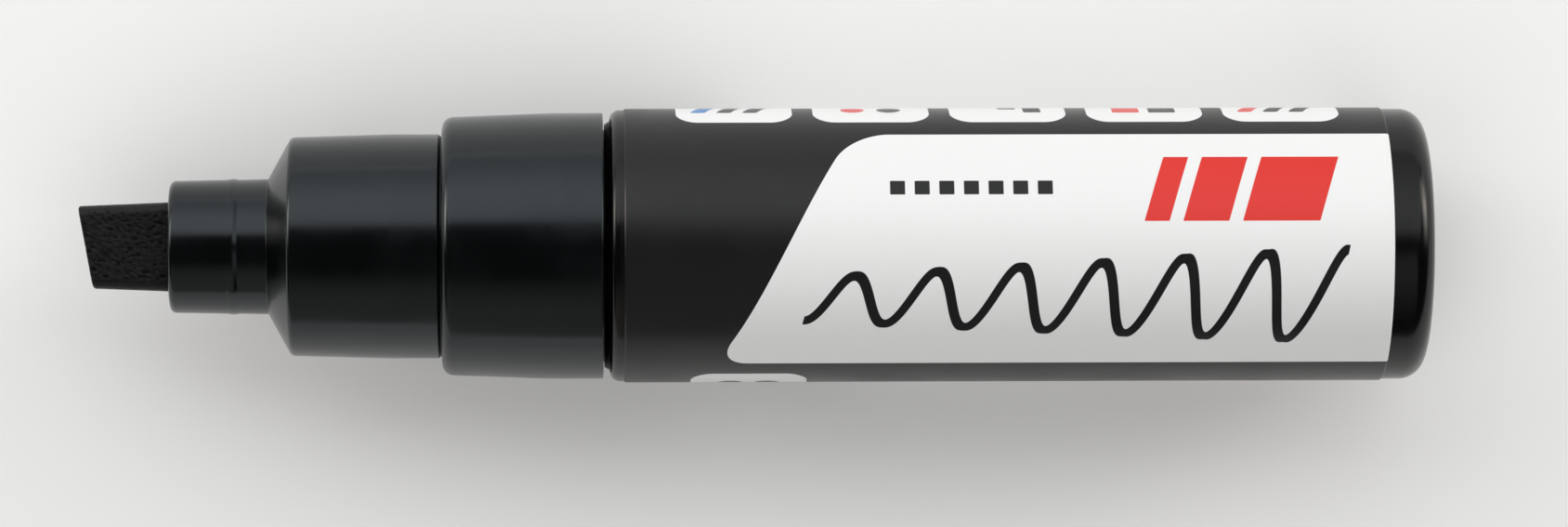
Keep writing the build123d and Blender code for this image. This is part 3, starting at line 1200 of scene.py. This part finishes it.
@dataclass
class Nib:
    """The fibre nib: a rounded block, tapered ahead of its guide and cut at a slant, +Y corner foremost."""

    axis: MarkerAxis
    tip_half_width: float = 3.95
    taper: float = 0.35
    half_thickness: float = 2.50
    edge_radius: float = 1.10
    tip_radius: float = 0.30
    slant_deg: float = 10.5
    reach: float = 8.80
    rear: float = 23.10
    rear_radius: float = 0.20
    columns: int = COLUMNS
    tip_rings: int = 22
    side_rows: int = 230
    side_crowding: float = 1.35
    rear_rings: int = 6
    pores: Pores = Pores()
    skin_start: float = 0.22
    skin_full: float = 0.55
    piece: Piece = Piece("fibre_nib", "nib", "nib", "nib_fibre")
    finish: PorousFibre = PorousFibre("pressed_fibre")

    def section(self) -> tuple[np.ndarray, np.ndarray]:
        """The block's rounded rectangle at its tip, evenly spaced along its length.

        Returns:
            Points (Y, Z) and outward directions, one for each column.
        """
        wide = self.tip_half_width
        deep = self.half_thickness
        ring = [(-wide, -deep), (-wide, deep), (wide, deep), (wide, -deep)]
        outline = rounded([Corner(y, z, self.edge_radius) for y, z in ring], closed=True).places
        closed = np.concatenate([outline, outline[:1]])
        length = np.concatenate([[0.0], np.cumsum(np.linalg.norm(np.diff(closed, axis=0), axis=1))])
        even = np.linspace(0.0, length[-1], self.columns, endpoint=False)
        points = np.stack([np.interp(even, length, column) for column in closed.T], axis=1)
        core = np.array([wide, deep]) - self.edge_radius
        outward = points - np.clip(points, -core, core)
        return points, outward / np.linalg.norm(outward, axis=1, keepdims=True)

    def build(self) -> list[bpy.types.Object]:
        """Makes the nib.

        Rings grow from the middle of the slanted face to its rounded edge, then a quarter circle carries the
        section over that edge, straight rows run back to the rear, closer together in front, and rings close
        it there. Pits are sunk along the outward direction, on the broad faces and the slanted one. The
        narrow sides keep a smooth skin, which starts as the outward direction turns from Z to Y.

        Returns:
            The nib's object.
        """
        section, outward = self.section()
        face = np.linspace(1.0, 0.0, self.tip_rings, endpoint=False)
        arc = np.linspace(math.pi / 2.0, 0.0, ARC_STEPS)
        side = np.linspace(0.0, 1.0, self.side_rows)[1:] ** self.side_crowding
        rear_arc = np.linspace(0.0, math.pi / 2.0, ARC_STEPS)[1:]
        rear_face = np.linspace(0.0, 1.0, self.rear_rings)[1:]
        stretches = [face, arc, side, rear_arc, rear_face]
        tip = self.tip_radius
        end = self.rear_radius
        shrink = stretch_rows(stretches, face, 0.0, 0.0, 0.0, rear_face)
        tip_inset = tip * (1.0 - np.cos(arc))
        rear_inset = end * (1.0 - np.cos(rear_arc))
        inset = stretch_rows(stretches, tip, tip_inset, 0.0, rear_inset, end)
        lift = stretch_rows(stretches, 0.0, tip * (1.0 - np.sin(arc)), tip, 0.0, 0.0)
        back = stretch_rows(stretches, 0.0, 0.0, side, 1.0, 1.0)
        tail = stretch_rows(stretches, 0.0, 0.0, 0.0, end * np.sin(rear_arc), end)
        frontness = stretch_rows(stretches, 1.0, np.sin(arc), 0.0, 0.0, 0.0)
        rear_end = stretch_rows(stretches, 0.0, 0.0, 0.0, 1.0, 1.0)
        steep = math.radians(self.slant_deg)
        across, through = section.T
        out_y, out_z = outward.T
        flat_y = (across - inset * out_y) * (1.0 - shrink)
        slanted = (self.tip_half_width - flat_y) * math.tan(steep) + lift
        x = slanted * (1.0 - back) + (self.rear - end) * back + tail
        half = self.tip_half_width + self.taper * np.clip(x / self.reach, 0.0, 1.0)
        straight = self.tip_half_width - self.edge_radius
        core = np.clip(across, -straight, straight)
        widened = core * (half - self.edge_radius) / straight + across - core
        y = (widened - inset * out_y) * (1.0 - shrink)
        z = (through - inset * out_z) * (1.0 - shrink)
        sideways = np.clip((np.abs(out_y) - self.skin_start) / (self.skin_full - self.skin_start), 0.0, 1.0)
        smooth = np.maximum(sideways * (1.0 - frontness), rear_end)
        pore = self.pores.field(np.stack(np.broadcast_arrays(x, y, z), axis=-1)) * (1.0 - smooth)
        sink = self.pores.depth * pore
        x = x + sink * frontness * math.cos(steep)
        y = y - sink * ((1.0 - frontness) * out_y - frontness * math.sin(steep))
        z = z - sink * (1.0 - frontness) * out_z
        skin = GridSkin(self.axis.points(x, y, z), Ends.POLES)
        return [self.piece.make(skin, self.finish.material(), {"pore": pore, "skin": smooth})]


@dataclass
class FrontHousing:
    """The front moulding: nib sleeve with its ring, cone, cap seat and collar, with the nib's slot inside."""

    axis: MarkerAxis
    mouth: float = 8.80
    sleeve_radius: float = 6.36
    sleeve_rear_radius: float = 6.52
    lip_radius: float = 0.62
    ring_place: float = 14.90
    ring_half_width: float = 0.56
    ring_crown: float = 0.12
    ring_rounding: float = 1.90
    cone: float = 18.28
    cone_root_rounding: float = 0.18
    seat: float = 20.50
    seat_front_radius: float = 10.55
    shoulder_radius: float = 0.62
    seat_land: float = 29.80
    seat_radius: float = 10.82
    seat_blend: float = 12.0
    collar: float = 35.05
    collar_front_radius: float = 12.45
    collar_corner: float = 1.10
    relief_width: float = 0.34
    relief_depth: float = 0.30
    collar_land: float = 45.90
    collar_radius: float = 12.85
    collar_blend: float = 60.0
    collar_rear: float = 50.58
    rear_edge: float = 0.15
    socket_radius: float = 11.25
    groove_place: float = 46.65
    groove_half_width: float = 0.85
    groove_crown: float = 0.48
    groove_rounding: float = 0.90
    socket: float = 36.65
    bore_radius: float = 8.95
    chamber: float = 22.10
    slot_half_width: float = 4.40
    slot_half_thickness: float = 2.60
    slot_corner: float = 1.20
    mouth_chamfer: float = 0.25
    slot_level: float = 3.50
    piece: Piece = Piece("front_shell", "front_housing", "marker_body", "front_plastic")
    finish: MouldedPlastic = MouldedPlastic(
        "gloss_front_plastic", (0.0008, 0.0010, 0.0011), roughness=0.19, ior=1.485, tint=(0.84, 0.94, 1.0)
    )

    def round_corners(self) -> list[Corner]:
        """Corners of the turned part: outside from the mouth to the rear, then inside back to the chamber.

        Returns:
            The corners in order.
        """
        draft = (self.sleeve_rear_radius - self.sleeve_radius) / (self.cone - self.mouth)
        ring_base = self.sleeve_radius + draft * (self.ring_place - self.mouth)
        return [
            Corner(self.mouth, self.sleeve_radius, self.lip_radius),
            Corner(self.ring_place - self.ring_half_width, ring_base),
            Corner(self.ring_place, ring_base + self.ring_crown, self.ring_rounding),
            Corner(self.ring_place + self.ring_half_width, ring_base),
            Corner(self.cone, self.sleeve_rear_radius, self.cone_root_rounding),
            Corner(self.seat, self.seat_front_radius, self.shoulder_radius),
            Corner(self.seat_land, self.seat_radius, self.seat_blend),
            Corner(self.collar - self.relief_width, self.seat_radius),
            Corner(self.collar, self.seat_radius - self.relief_depth),
            Corner(self.collar, self.collar_front_radius, self.collar_corner),
            Corner(self.collar_land, self.collar_radius, self.collar_blend),
            Corner(self.collar_rear, self.collar_radius, self.rear_edge),
            Corner(self.collar_rear, self.socket_radius),
            Corner(self.groove_place + self.groove_half_width, self.socket_radius),
            Corner(self.groove_place, self.socket_radius + self.groove_crown, self.groove_rounding),
            Corner(self.groove_place - self.groove_half_width, self.socket_radius),
            Corner(self.socket, self.socket_radius),
            Corner(self.socket, self.bore_radius),
            Corner(self.chamber, self.bore_radius),
        ]

    def slot_corners(self) -> list[Corner]:
        """Corners of the slot, whose radius is a distance from the slot's wall, counted from slot_level.

        Returns:
            The corners from the chamber forward to the mouth.
        """
        return [
            Corner(self.chamber, self.slot_level),
            Corner(self.mouth + self.mouth_chamfer, self.slot_level),
            Corner(self.mouth, self.slot_level + self.mouth_chamfer),
        ]

    def slot_radius(self, angles: np.ndarray) -> np.ndarray:
        """Distance from the axis to the slot's wall: where a ray meets a flat side, or the arc in a corner.

        Args:
            angles: Directions round the axis.

        Returns:
            The distances in millimetres.
        """
        along_y = np.maximum(np.abs(np.sin(angles)), LEAST_SHARE)
        along_z = np.maximum(np.abs(np.cos(angles)), LEAST_SHARE)
        core_y = self.slot_half_width - self.slot_corner
        core_z = self.slot_half_thickness - self.slot_corner
        side_y = self.slot_half_width / along_y
        side_z = self.slot_half_thickness / along_z
        middle = along_y * core_y + along_z * core_z
        arc = middle + np.sqrt(np.maximum(middle**2 - core_y**2 - core_z**2 + self.slot_corner**2, 0.0))
        on_z = np.where(side_z * along_y <= core_y, side_z, arc)
        return np.where(side_y * along_z <= core_z, side_y, on_z)

    def build(self) -> list[bpy.types.Object]:
        """Makes the moulding. Its rows are round, or keep a fixed distance from the slot's wall.

        Returns:
            The moulding's object.
        """
        round_corners = self.round_corners()
        outline = rounded([*round_corners, *self.slot_corners()], closed=True).finer()
        angles = even_angles()
        in_slot = (outline.corner >= len(round_corners))[:, None]
        stations, level = outline.places.T
        slot_wall = self.slot_radius(angles) + level[:, None] - self.slot_level
        points = self.axis.turned(stations, np.where(in_slot, slot_wall, level[:, None]), angles)
        edge = np.broadcast_to(outline.edge[:, None], points.shape[:2])
        return [self.piece.make(GridSkin(points, Ends.LOOP), self.finish.material(), {"edge": edge})]


@dataclass
class Barrel:
    """The tank: a closed barrel with a rounded rear end and a moulding gate in it, and a neck in front."""

    axis: MarkerAxis
    front: float = 51.22
    rear: float = 130.10
    radius: float = 13.10
    rim_radius: float = 0.95
    spigot: float = 50.70
    spigot_radius: float = 11.70
    spigot_root_radius: float = 12.12
    spigot_root_rounding: float = 0.02
    end_radius: float = 2.30
    tank_radius: float = 11.75
    tank_rear: float = 128.50
    tank_corner: float = 0.95
    tank: float = 55.10
    tank_shoulder: float = 52.57
    neck: float = 38.65
    neck_radius: float = 11.22
    neck_bore: float = 9.22
    neck_lip: float = 0.40
    snap_place: float = 46.65
    snap_half_width: float = 0.80
    snap_crown: float = 0.44
    snap_rounding: float = 0.90
    groove_place: float = 42.15
    groove_half_width: float = 0.57
    groove_floor: float = 10.29
    gate_radius: float = 2.10
    gate_floor_radius: float = 1.85
    gate_depth: float = 0.35
    gate_rounding: float = 0.10
    stub_radius: float = 0.60
    stub_height: float = 0.20
    stub_rounding: float = 0.08
    piece: Piece = Piece("tank_barrel", "barrel", "marker_body", "barrel_plastic")
    finish: MouldedPlastic = MouldedPlastic(
        "gloss_barrel_plastic", (0.0010, 0.0010, 0.0011), roughness=0.19, ior=1.38
    )

    def corners(self) -> list[Corner]:
        """Corners from the middle of the tank's end wall forward, over the neck, and back to the rear end.

        Returns:
            The corners in order.
        """
        gate_floor = self.rear - self.gate_depth
        stub_top = gate_floor + self.stub_height
        return [
            Corner(self.tank_rear, 0.0),
            Corner(self.tank_rear, self.tank_radius, self.tank_corner),
            Corner(self.tank, self.tank_radius),
            Corner(self.tank_shoulder, self.neck_bore),
            Corner(self.neck, self.neck_bore),
            Corner(self.neck, self.neck_radius, self.neck_lip),
            Corner(self.groove_place - self.groove_half_width, self.neck_radius),
            Corner(self.groove_place - self.groove_half_width, self.groove_floor),
            Corner(self.groove_place + self.groove_half_width, self.groove_floor),
            Corner(self.groove_place + self.groove_half_width, self.neck_radius),
            Corner(self.snap_place - self.snap_half_width, self.neck_radius),
            Corner(self.snap_place, self.neck_radius + self.snap_crown, self.snap_rounding),
            Corner(self.snap_place + self.snap_half_width, self.neck_radius),
            Corner(self.spigot, self.neck_radius),
            Corner(self.spigot, self.spigot_radius),
            Corner(self.front, self.spigot_root_radius, self.spigot_root_rounding),
            Corner(self.front, self.radius, self.rim_radius),
            Corner(self.rear, self.radius, self.end_radius),
            Corner(self.rear, self.gate_radius, self.gate_rounding),
            Corner(gate_floor, self.gate_floor_radius, self.gate_rounding),
            Corner(gate_floor, self.stub_radius),
            Corner(stub_top, self.stub_radius, self.stub_rounding),
            Corner(stub_top, 0.0),
        ]

    def build(self) -> list[bpy.types.Object]:
        """Makes the barrel by carrying its outline round the axis, from pole to pole.

        Returns:
            The barrel's object.
        """
        outline = rounded(self.corners(), closed=False).finer()
        stations, radius = outline.places.T
        points = self.axis.turned(stations, radius[:, None], even_angles())
        edge = np.broadcast_to(outline.edge[:, None], points.shape[:2])
        return [self.piece.make(GridSkin(points, Ends.POLES), self.finish.material(), {"edge": edge})]


@dataclass
class LabelSleeve:
    """The printed film round the barrel, with the step of its overlap on one side."""

    axis: MarkerAxis
    front: float = 52.60
    rear: float = 126.00
    inner_radius: float = 13.12
    radius: float = 13.24
    bevel: float = 0.16
    lip: float = 0.02
    lip_rounding: float = 0.004
    edge_rounding: float = 0.06
    seam_deg: float = -112.0
    seam_step: float = 0.045
    seam_width_deg: float = 0.25
    seam_fade_deg: float = 30.0
    piece: Piece = Piece("printed_film", "label_sleeve", "marker_body", "label_film")
    finish: PrintedFilm = PrintedFilm("satin_printed_film", FilmArtwork(), Scribble())

    def build(self) -> list[bpy.types.Object]:
        """Makes the film.

        A thin strip with bevelled edges is carried round the axis. Its outer side drops at the seam by the
        step of the overlap, and comes back to full radius as the angle goes on.

        Returns:
            The film's object.
        """
        ring = [
            Corner(self.front, self.inner_radius, self.lip_rounding),
            Corner(self.front, self.inner_radius + self.lip, self.lip_rounding),
            Corner(self.front + self.bevel, self.radius, self.edge_rounding),
            Corner(self.rear - self.bevel, self.radius, self.edge_rounding),
            Corner(self.rear, self.inner_radius + self.lip, self.lip_rounding),
            Corner(self.rear, self.inner_radius, self.lip_rounding),
        ]
        outline = rounded(ring, closed=True).finer()
        seam = math.radians(self.seam_deg) % TURN
        width = math.radians(self.seam_width_deg)
        angles = np.union1d(even_angles(), seam + width * np.array([-1.0, 0.0, 1.0]))
        past = (angles - seam) % TURN
        sunk = np.clip(1.0 - past / math.radians(self.seam_fade_deg), 0.0, 1.0) * self.seam_step
        stations, level = outline.places.T
        outer = (level - self.inner_radius) / (self.radius - self.inner_radius)
        points = self.axis.turned(stations, level[:, None] - outer[:, None] * sunk, angles)
        material = self.finish.material(self.axis, self.front, self.radius)
        return [self.piece.make(GridSkin(points, Ends.LOOP), material)]


@dataclass
class InkValve:
    """The valve and seals inside: a coil spring made here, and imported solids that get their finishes."""

    axis: MarkerAxis
    nodes: dict[str, bpy.types.Object]
    coil_front: float = 31.60
    coil_rear: float = 42.50
    coil_radius: float = 2.15
    wire_radius: float = 0.25
    turns: int = 7
    end_pitch: float = 0.95
    steps_per_turn: int = 40
    wire_columns: int = 14
    retainer: float = 42.80
    head: float = 31.30
    press_travel: float = 3.00
    piece: Piece = Piece("valve_coil", "valve_spring", "marker_body", "spring_steel")
    wire_steel: BareSteel = BareSteel(
        "drawn_spring_steel", (0.56, 0.56, 0.55), roughness=0.24, mark_size=(3.8, 0.19, 0.19)
    )
    seal_rubber: MouldedPlastic = MouldedPlastic(
        "soft_seal_rubber", (0.020, 0.020, 0.021), roughness=0.62, ior=1.50, grain_strength=0.3
    )
    cage_plastic: MouldedPlastic = MouldedPlastic(
        "natural_valve_plastic", (0.74, 0.75, 0.72), roughness=0.42, ior=1.49, rub_lift=1.05
    )
    rod_plastic: MouldedPlastic = MouldedPlastic(
        "bearing_rod_plastic", (0.68, 0.69, 0.68), roughness=0.36, ior=1.48, rub_lift=1.05
    )
    ball_steel: BareSteel = BareSteel(
        "polished_ball_steel", (0.60, 0.60, 0.59), roughness=0.10, mark_size=(0.55, 0.55, 0.55)
    )

    def coil_skin(self) -> GridSkin:
        """A round wire carried along a helix whose end turns lie closer together.

        The wire's middle is at coil_radius times cosine and sine of the angle, and its station follows the
        angle with a smaller pitch in the first and last turn. Each ring stands on the radial direction and on
        the direction square to it and to the wire.

        Returns:
            The coil's skin.
        """
        turn = np.linspace(0.0, self.turns, self.turns * self.steps_per_turn + 1)
        knots = np.array([0.0, 1.0, self.turns - 1.0, self.turns])
        first = self.coil_front + self.end_pitch
        last = self.coil_rear - self.end_pitch
        x = np.interp(turn, knots, np.array([self.coil_front, first, last, self.coil_rear]))
        angle = TURN * turn
        middle = np.stack([x, self.coil_radius * np.cos(angle), self.coil_radius * np.sin(angle)], axis=1)
        heading = np.gradient(middle, axis=0)
        radial = np.stack([np.zeros_like(angle), np.cos(angle), np.sin(angle)], axis=1)
        square = np.cross(heading, radial)
        square = square / np.linalg.norm(square, axis=1, keepdims=True)
        ring = even_angles(self.wire_columns)[None, :, None]
        spokes = radial[:, None] * np.cos(ring) + square[:, None] * np.sin(ring)
        wire = middle[:, None] + self.wire_radius * spokes
        caps = np.repeat(middle[[0, -1], None], self.wire_columns, axis=1)
        rows = np.concatenate([caps[:1], wire, caps[1:]])
        return GridSkin(self.axis.points(*np.moveaxis(rows, -1, 0)), Ends.POLES)

    def dress(self, finish: MouldedPlastic | BareSteel, *names: str) -> list[bpy.types.Object]:
        """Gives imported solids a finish.

        Args:
            finish: The finish.
            names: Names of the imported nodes.

        Returns:
            The dressed solids.
        """
        material = finish.material()
        solids = [self.nodes[name] for name in names]
        for solid in solids:
            for slot in solid.material_slots:
                slot.material = material
        return solids

    def build(self) -> list[bpy.types.Object]:
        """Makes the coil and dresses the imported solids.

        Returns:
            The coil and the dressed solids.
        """
        coil = self.piece.make(self.coil_skin(), self.wire_steel.material())
        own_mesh(coil)
        return [
            coil,
            *self.dress(self.seal_rubber, "neck_o_ring", "valve_gasket", "valve_seat"),
            *self.dress(self.cage_plastic, "valve_body", "spring_retainer"),
            *self.dress(self.rod_plastic, "valve_rod"),
            *self.dress(self.ball_steel, "mixing_ball"),
        ]


def facing(centre: Vector, aim: Vector, side: Vector) -> Matrix:
    """A frame at a place, whose -Z axis looks at another place.

    Args:
        centre: Where it stands.
        aim: What it looks at.
        side: The direction that its X axis follows as nearly as it can.

    Returns:
        The frame's matrix.
    """
    back = (centre - aim).normalized()
    across = (side - back * side.dot(back)).normalized()
    turned = Matrix((across, back.cross(across), back)).transposed()
    return Matrix.Translation(centre) @ turned.to_4x4()


class LightColour(Enum):
    """Colours of the studio's lights."""

    COOL = (0.97, 0.99, 1.0)
    WARM = (1.0, 0.95, 0.88)
    SOFT = (1.0, 0.995, 0.985)
    AMBER = (1.0, 0.95, 0.87)


@dataclass(frozen=True)
class Softbox:
    """A rectangular light. Place and size are in metres, and the radiance is that of its brightest place.

    It faces its aim with its width along its side. Over its width and its height the radiance follows levels,
    which are shares of the radiance at shares of the length. Gloss mirrors it unless it is only a fill.
    """

    name: str
    centre: Xyz
    aim: Xyz
    side: Xyz
    size: tuple[float, float]
    radiance: float
    colour: LightColour
    width_levels: Stops = ((0.0, 1.0), (1.0, 1.0))
    height_levels: Stops = ((0.0, 1.0), (1.0, 1.0))
    mirrored: bool = True

    @classmethod
    def strip(
        cls, name: str, distance: float, height: float, along: Stops, about: Stops, colour: LightColour
    ) -> "Softbox":
        """A strip along the marker, square to the ray from the axis to its middle.

        A place on it lies away from the middle line by the strip's distance times the tangent of the angle
        between them.

        Args:
            name: The light's name.
            distance: Distance of the strip's middle from the marker's axis.
            height: Height of the marker's axis.
            along: Places along X in metres, with shares of the radiance.
            about: Angles about the axis in degrees, from +Z towards +Y, with radiances, ending lowest.
            colour: The light's colour.

        Returns:
            The strip.
        """
        places, shares = np.array(along).T
        degrees, radiances = np.array(about).T
        angles = np.radians(degrees)
        middle = (angles[0] + angles[-1]) / 2.0
        turn = math.copysign(1.0, middle)
        off = distance * np.tan((angles - middle) * turn)
        middle_x = (places[0] + places[-1]) / 2.0
        width = places[-1] - places[0]
        width_shares = 0.5 + turn * (places - middle_x) / width
        order = np.argsort(width_shares)
        return cls(
            name,
            (middle_x, distance * math.sin(middle), height + distance * math.cos(middle)),
            (middle_x, 0.0, height),
            (turn, 0.0, 0.0),
            (width, off[-1] - off[0]),
            radiances.max(),
            colour,
            tuple(zip(width_shares[order], shares[order])),
            tuple(zip(0.5 + off / (off[-1] - off[0]), radiances / radiances.max())),
        )

    def build(self) -> None:
        """Hangs the light, turned to its aim and unseen by the camera."""
        lamp = bpy.data.lights.new(self.name, "AREA")
        lamp.shape = "RECTANGLE"
        lamp.size, lamp.size_y = self.size
        lamp.energy = self.radiance * math.pi * self.size[0] * self.size[1]
        lamp.color = self.colour.value
        lamp.use_nodes = True
        sheet = NodeSheet(lamp.node_tree)
        parts = sheet.add("ShaderNodeSeparateXYZ")
        sheet.feed(parts.inputs[0], sheet.add("ShaderNodeNewGeometry").outputs["Parametric"])
        over_width = sheet.levels(parts.outputs["X"], self.width_levels)
        over_height = sheet.levels(parts.outputs["Y"], self.height_levels)
        shown = sheet.math("MULTIPLY", over_width, over_height)
        sheet.feed(lamp.node_tree.nodes["Emission"].inputs["Strength"], shown)
        hung = bpy.data.objects.new(self.name, lamp)
        hung.matrix_world = facing(Vector(self.centre), Vector(self.aim), Vector(self.side))
        hung.visible_camera = False
        hung.visible_glossy = self.mirrored
        bpy.context.scene.collection.objects.link(hung)


@dataclass
class Studio:
    """The pale floor, the lights and the camera at the photograph's angle.

    Places and sizes are in metres, and the camera's lens and sensor in millimetres. The tables over_front,
    over_rear and over_barrel say how the strips fade along X. The key and far tables say how bright they are
    about the marker's axis. Both are as Softbox.strip takes them.
    """

    axis: MarkerAxis
    floor_half: float = 5.0
    floor_colour: Rgb = (0.93, 0.93, 0.93)
    floor_roughness: float = 0.9
    wall_radius: float = 4.4
    wall_height: float = 0.26
    wall_columns: int = 96
    far_colour: Rgb = (1.0, 1.0, 1.0)
    far_light: float = 0.91
    far_start: float = 0.12
    far_end: float = 0.75
    room_colour: Rgb = (1.0, 0.99, 0.97)
    room_light: float = 0.03
    strip_distance: float = 0.80
    over_front: Stops = ((-0.83, 1.0), (0.02, 1.0), (0.09, 0.0))
    over_rear: Stops = ((0.02, 0.0), (0.09, 1.0), (0.89, 1.0))
    over_barrel: Stops = ((0.02, 0.0), (0.09, 1.0), (0.47, 1.0))
    key_front: Stops = (
        (19.0, 0.0),
        (22.0, 1.30),
        (30.0, 1.62),
        (48.0, 1.66),
        (60.0, 1.42),
        (74.0, 1.01),
        (89.0, 0.71),
    )
    key_rear: Stops = (
        (4.0, 0.0),
        (12.0, 1.25),
        (33.0, 1.30),
        (48.0, 1.10),
        (59.0, 0.93),
        (70.0, 0.75),
        (89.0, 0.45),
    )
    far_front: Stops = ((-27.0, 0.0), (-40.0, 0.20), (-55.0, 0.36), (-75.0, 0.36), (-89.0, 0.25))
    far_rear: Stops = ((-4.0, 0.0), (-14.0, 0.44), (-30.0, 0.42), (-48.0, 0.20), (-72.0, 0.0))
    box_size: tuple[float, float] = (0.75, 0.55)
    box_fade: Stops = ((0.0, 0.0), (0.5, 1.0), (1.0, 0.0))
    front_box_place: Xyz = (-0.84, 0.34, 0.30)
    front_box_radiance: float = 8.6
    rear_box_place: Xyz = (0.84, 0.34, 0.29)
    rear_box_radiance: float = 9.8
    fill_place: Xyz = (0.0, -0.45, 0.95)
    fill_size: tuple[float, float] = (1.6, 1.0)
    fill_radiance: float = 1.06
    camera_place: Xyz = (-0.01762, -0.00176, 0.6909)
    camera_aim: Xyz = (0.00308, -0.00176, 0.01324)
    camera_roll_deg: float = 0.155
    camera_lens: float = 160.6
    camera_sensor: float = 36.0

    def softboxes(self) -> list[Softbox]:
        """Bright strips on the +Y side, dim ones on the other, a box beyond each end, and a fill from above.

        The strips over the front and over the rear fade into each other.

        Returns:
            The lights.
        """
        height = self.axis.height
        middle = (0.0, 0.0, height)
        strips = (
            ("key_front", self.over_front, self.key_front, LightColour.COOL),
            ("key_rear", self.over_rear, self.key_rear, LightColour.COOL),
            ("far_front", self.over_front, self.far_front, LightColour.AMBER),
            ("far_rear", self.over_barrel, self.far_rear, LightColour.SOFT),
        )
        boxes = (
            ("front_box", self.front_box_place, self.front_box_radiance),
            ("rear_box", self.rear_box_place, self.rear_box_radiance),
        )
        lights = [
            Softbox.strip(name, self.strip_distance, height, along, about, colour)
            for name, along, about, colour in strips
        ]
        lights += [
            Softbox(
                name,
                centre=place,
                aim=middle,
                side=(0.0, 1.0, 0.0),
                size=self.box_size,
                radiance=radiance,
                colour=LightColour.WARM,
                width_levels=self.box_fade,
                height_levels=self.box_fade,
            )
            for name, place, radiance in boxes
        ]
        fill = Softbox(
            "top_fill",
            centre=self.fill_place,
            aim=middle,
            side=(1.0, 0.0, 0.0),
            size=self.fill_size,
            radiance=self.fill_radiance,
            colour=LightColour.SOFT,
            mirrored=False,
        )
        return [*lights, fill]

    def room(self) -> bpy.types.World:
        """A dim, even room.

        Returns:
            The world.
        """
        world = bpy.data.worlds.new("dim_room")
        world.use_nodes = True
        background = world.node_tree.nodes["Background"]
        background.inputs["Color"].default_value = rgba(self.room_colour)
        background.inputs["Strength"].default_value = self.room_light
        return world

    def floor_material(self) -> bpy.types.Material:
        """A pale floor that is lit and shaded near the marker, and is an even pale backdrop further out.

        Returns:
            The material.
        """
        material, sheet, shader, place = open_material("pale_floor")
        shader.inputs["Base Color"].default_value = rgba(self.floor_colour)
        shader.inputs["Roughness"].default_value = self.floor_roughness
        shader.inputs["Specular IOR Level"].default_value = 0.0
        glow = sheet.add("ShaderNodeEmission")
        glow.inputs["Color"].default_value = rgba(self.far_colour)
        rays = sheet.add("ShaderNodeLightPath").outputs
        sharp = sheet.math("MAXIMUM", rays["Is Glossy Ray"], rays["Is Transmission Ray"])
        seen = sheet.math("MAXIMUM", rays["Is Camera Ray"], sharp)
        sheet.feed(glow.inputs["Strength"], sheet.math("MULTIPLY", seen, self.far_light))
        length = sheet.add("ShaderNodeVectorMath", operation="LENGTH")
        sheet.feed(length.inputs[0], place)
        mixed = sheet.add("ShaderNodeMixShader")
        sheet.feed(mixed.inputs[0], sheet.ramp(length.outputs["Value"], self.far_start, self.far_end))
        sheet.feed(mixed.inputs[1], shader.outputs[0])
        sheet.feed(mixed.inputs[2], glow.outputs[0])
        output = next(node for node in sheet.tree.nodes if node.type == "OUTPUT_MATERIAL")
        sheet.feed(output.inputs["Surface"], mixed.outputs[0])
        return material

    def build_floor(self) -> None:
        """Lays the floor at the height that the marker lies on, and a low round wall that hides its far edge.

        The wall's points are at wall_radius times the cosine and sine of an angle, in a low and a high ring.
        """
        corners = self.floor_half * np.array([(-1, -1, 0), (1, -1, 0), (1, 1, 0), (-1, 1, 0)], float)
        angles = even_angles(self.wall_columns)
        foot = np.stack([np.cos(angles), np.sin(angles), np.zeros_like(angles)], axis=1) * self.wall_radius
        low = np.arange(self.wall_columns)
        high = low + self.wall_columns
        sides = np.stack([low, high, np.roll(high, -1), np.roll(low, -1)], axis=1)
        wall = np.concatenate([foot, foot + (0.0, 0.0, self.wall_height)])
        material = self.floor_material()
        for name, points, faces in (
            ("studio_floor", corners, [(0, 1, 2, 3)]),
            ("studio_wall", wall, sides.tolist()),
        ):
            mesh = bpy.data.meshes.new(name)
            mesh.from_pydata(points, [], faces)
            mesh.materials.append(material)
            stage = bpy.data.objects.new(name, mesh)
            bpy.context.scene.collection.objects.link(stage)

    def build_camera(self) -> None:
        """Stands the camera above the marker, looking down on it as the photograph does."""
        roll = math.radians(self.camera_roll_deg)
        data = bpy.data.cameras.new("photo_camera")
        data.sensor_width = self.camera_sensor
        data.lens = self.camera_lens
        camera = bpy.data.objects.new("photo_camera", data)
        side = Vector((math.cos(roll), -math.sin(roll), 0.0))
        camera.matrix_world = facing(Vector(self.camera_place), Vector(self.camera_aim), side)
        bpy.context.scene.collection.objects.link(camera)
        bpy.context.scene.camera = camera

    def build(self) -> None:
        """Sets up the world, the floor, the lights and the camera."""
        scene = bpy.context.scene
        scene.view_settings.view_transform = "Standard"
        scene.world = self.room()
        self.build_floor()
        for softbox in self.softboxes():
            softbox.build()
        self.build_camera()


def main() -> None:
    """Loads the frame, builds the marker's pieces in order, and sets up the studio."""
    logging.basicConfig(level=logging.INFO, format="%(name)s: %(message)s")
    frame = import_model()
    SharedEffects().build()
    axis = MarkerAxis.from_frame(FrontHousing.mouth)
    assemblies = [
        Nib(axis),
        FrontHousing(axis),
        Barrel(axis),
        LabelSleeve(axis),
        InkValve(axis, frame["nodes"]),
    ]
    for assembly in assemblies:
        for piece in assembly.build():
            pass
    Studio(axis).build()


if __name__ == "__main__":
    main()
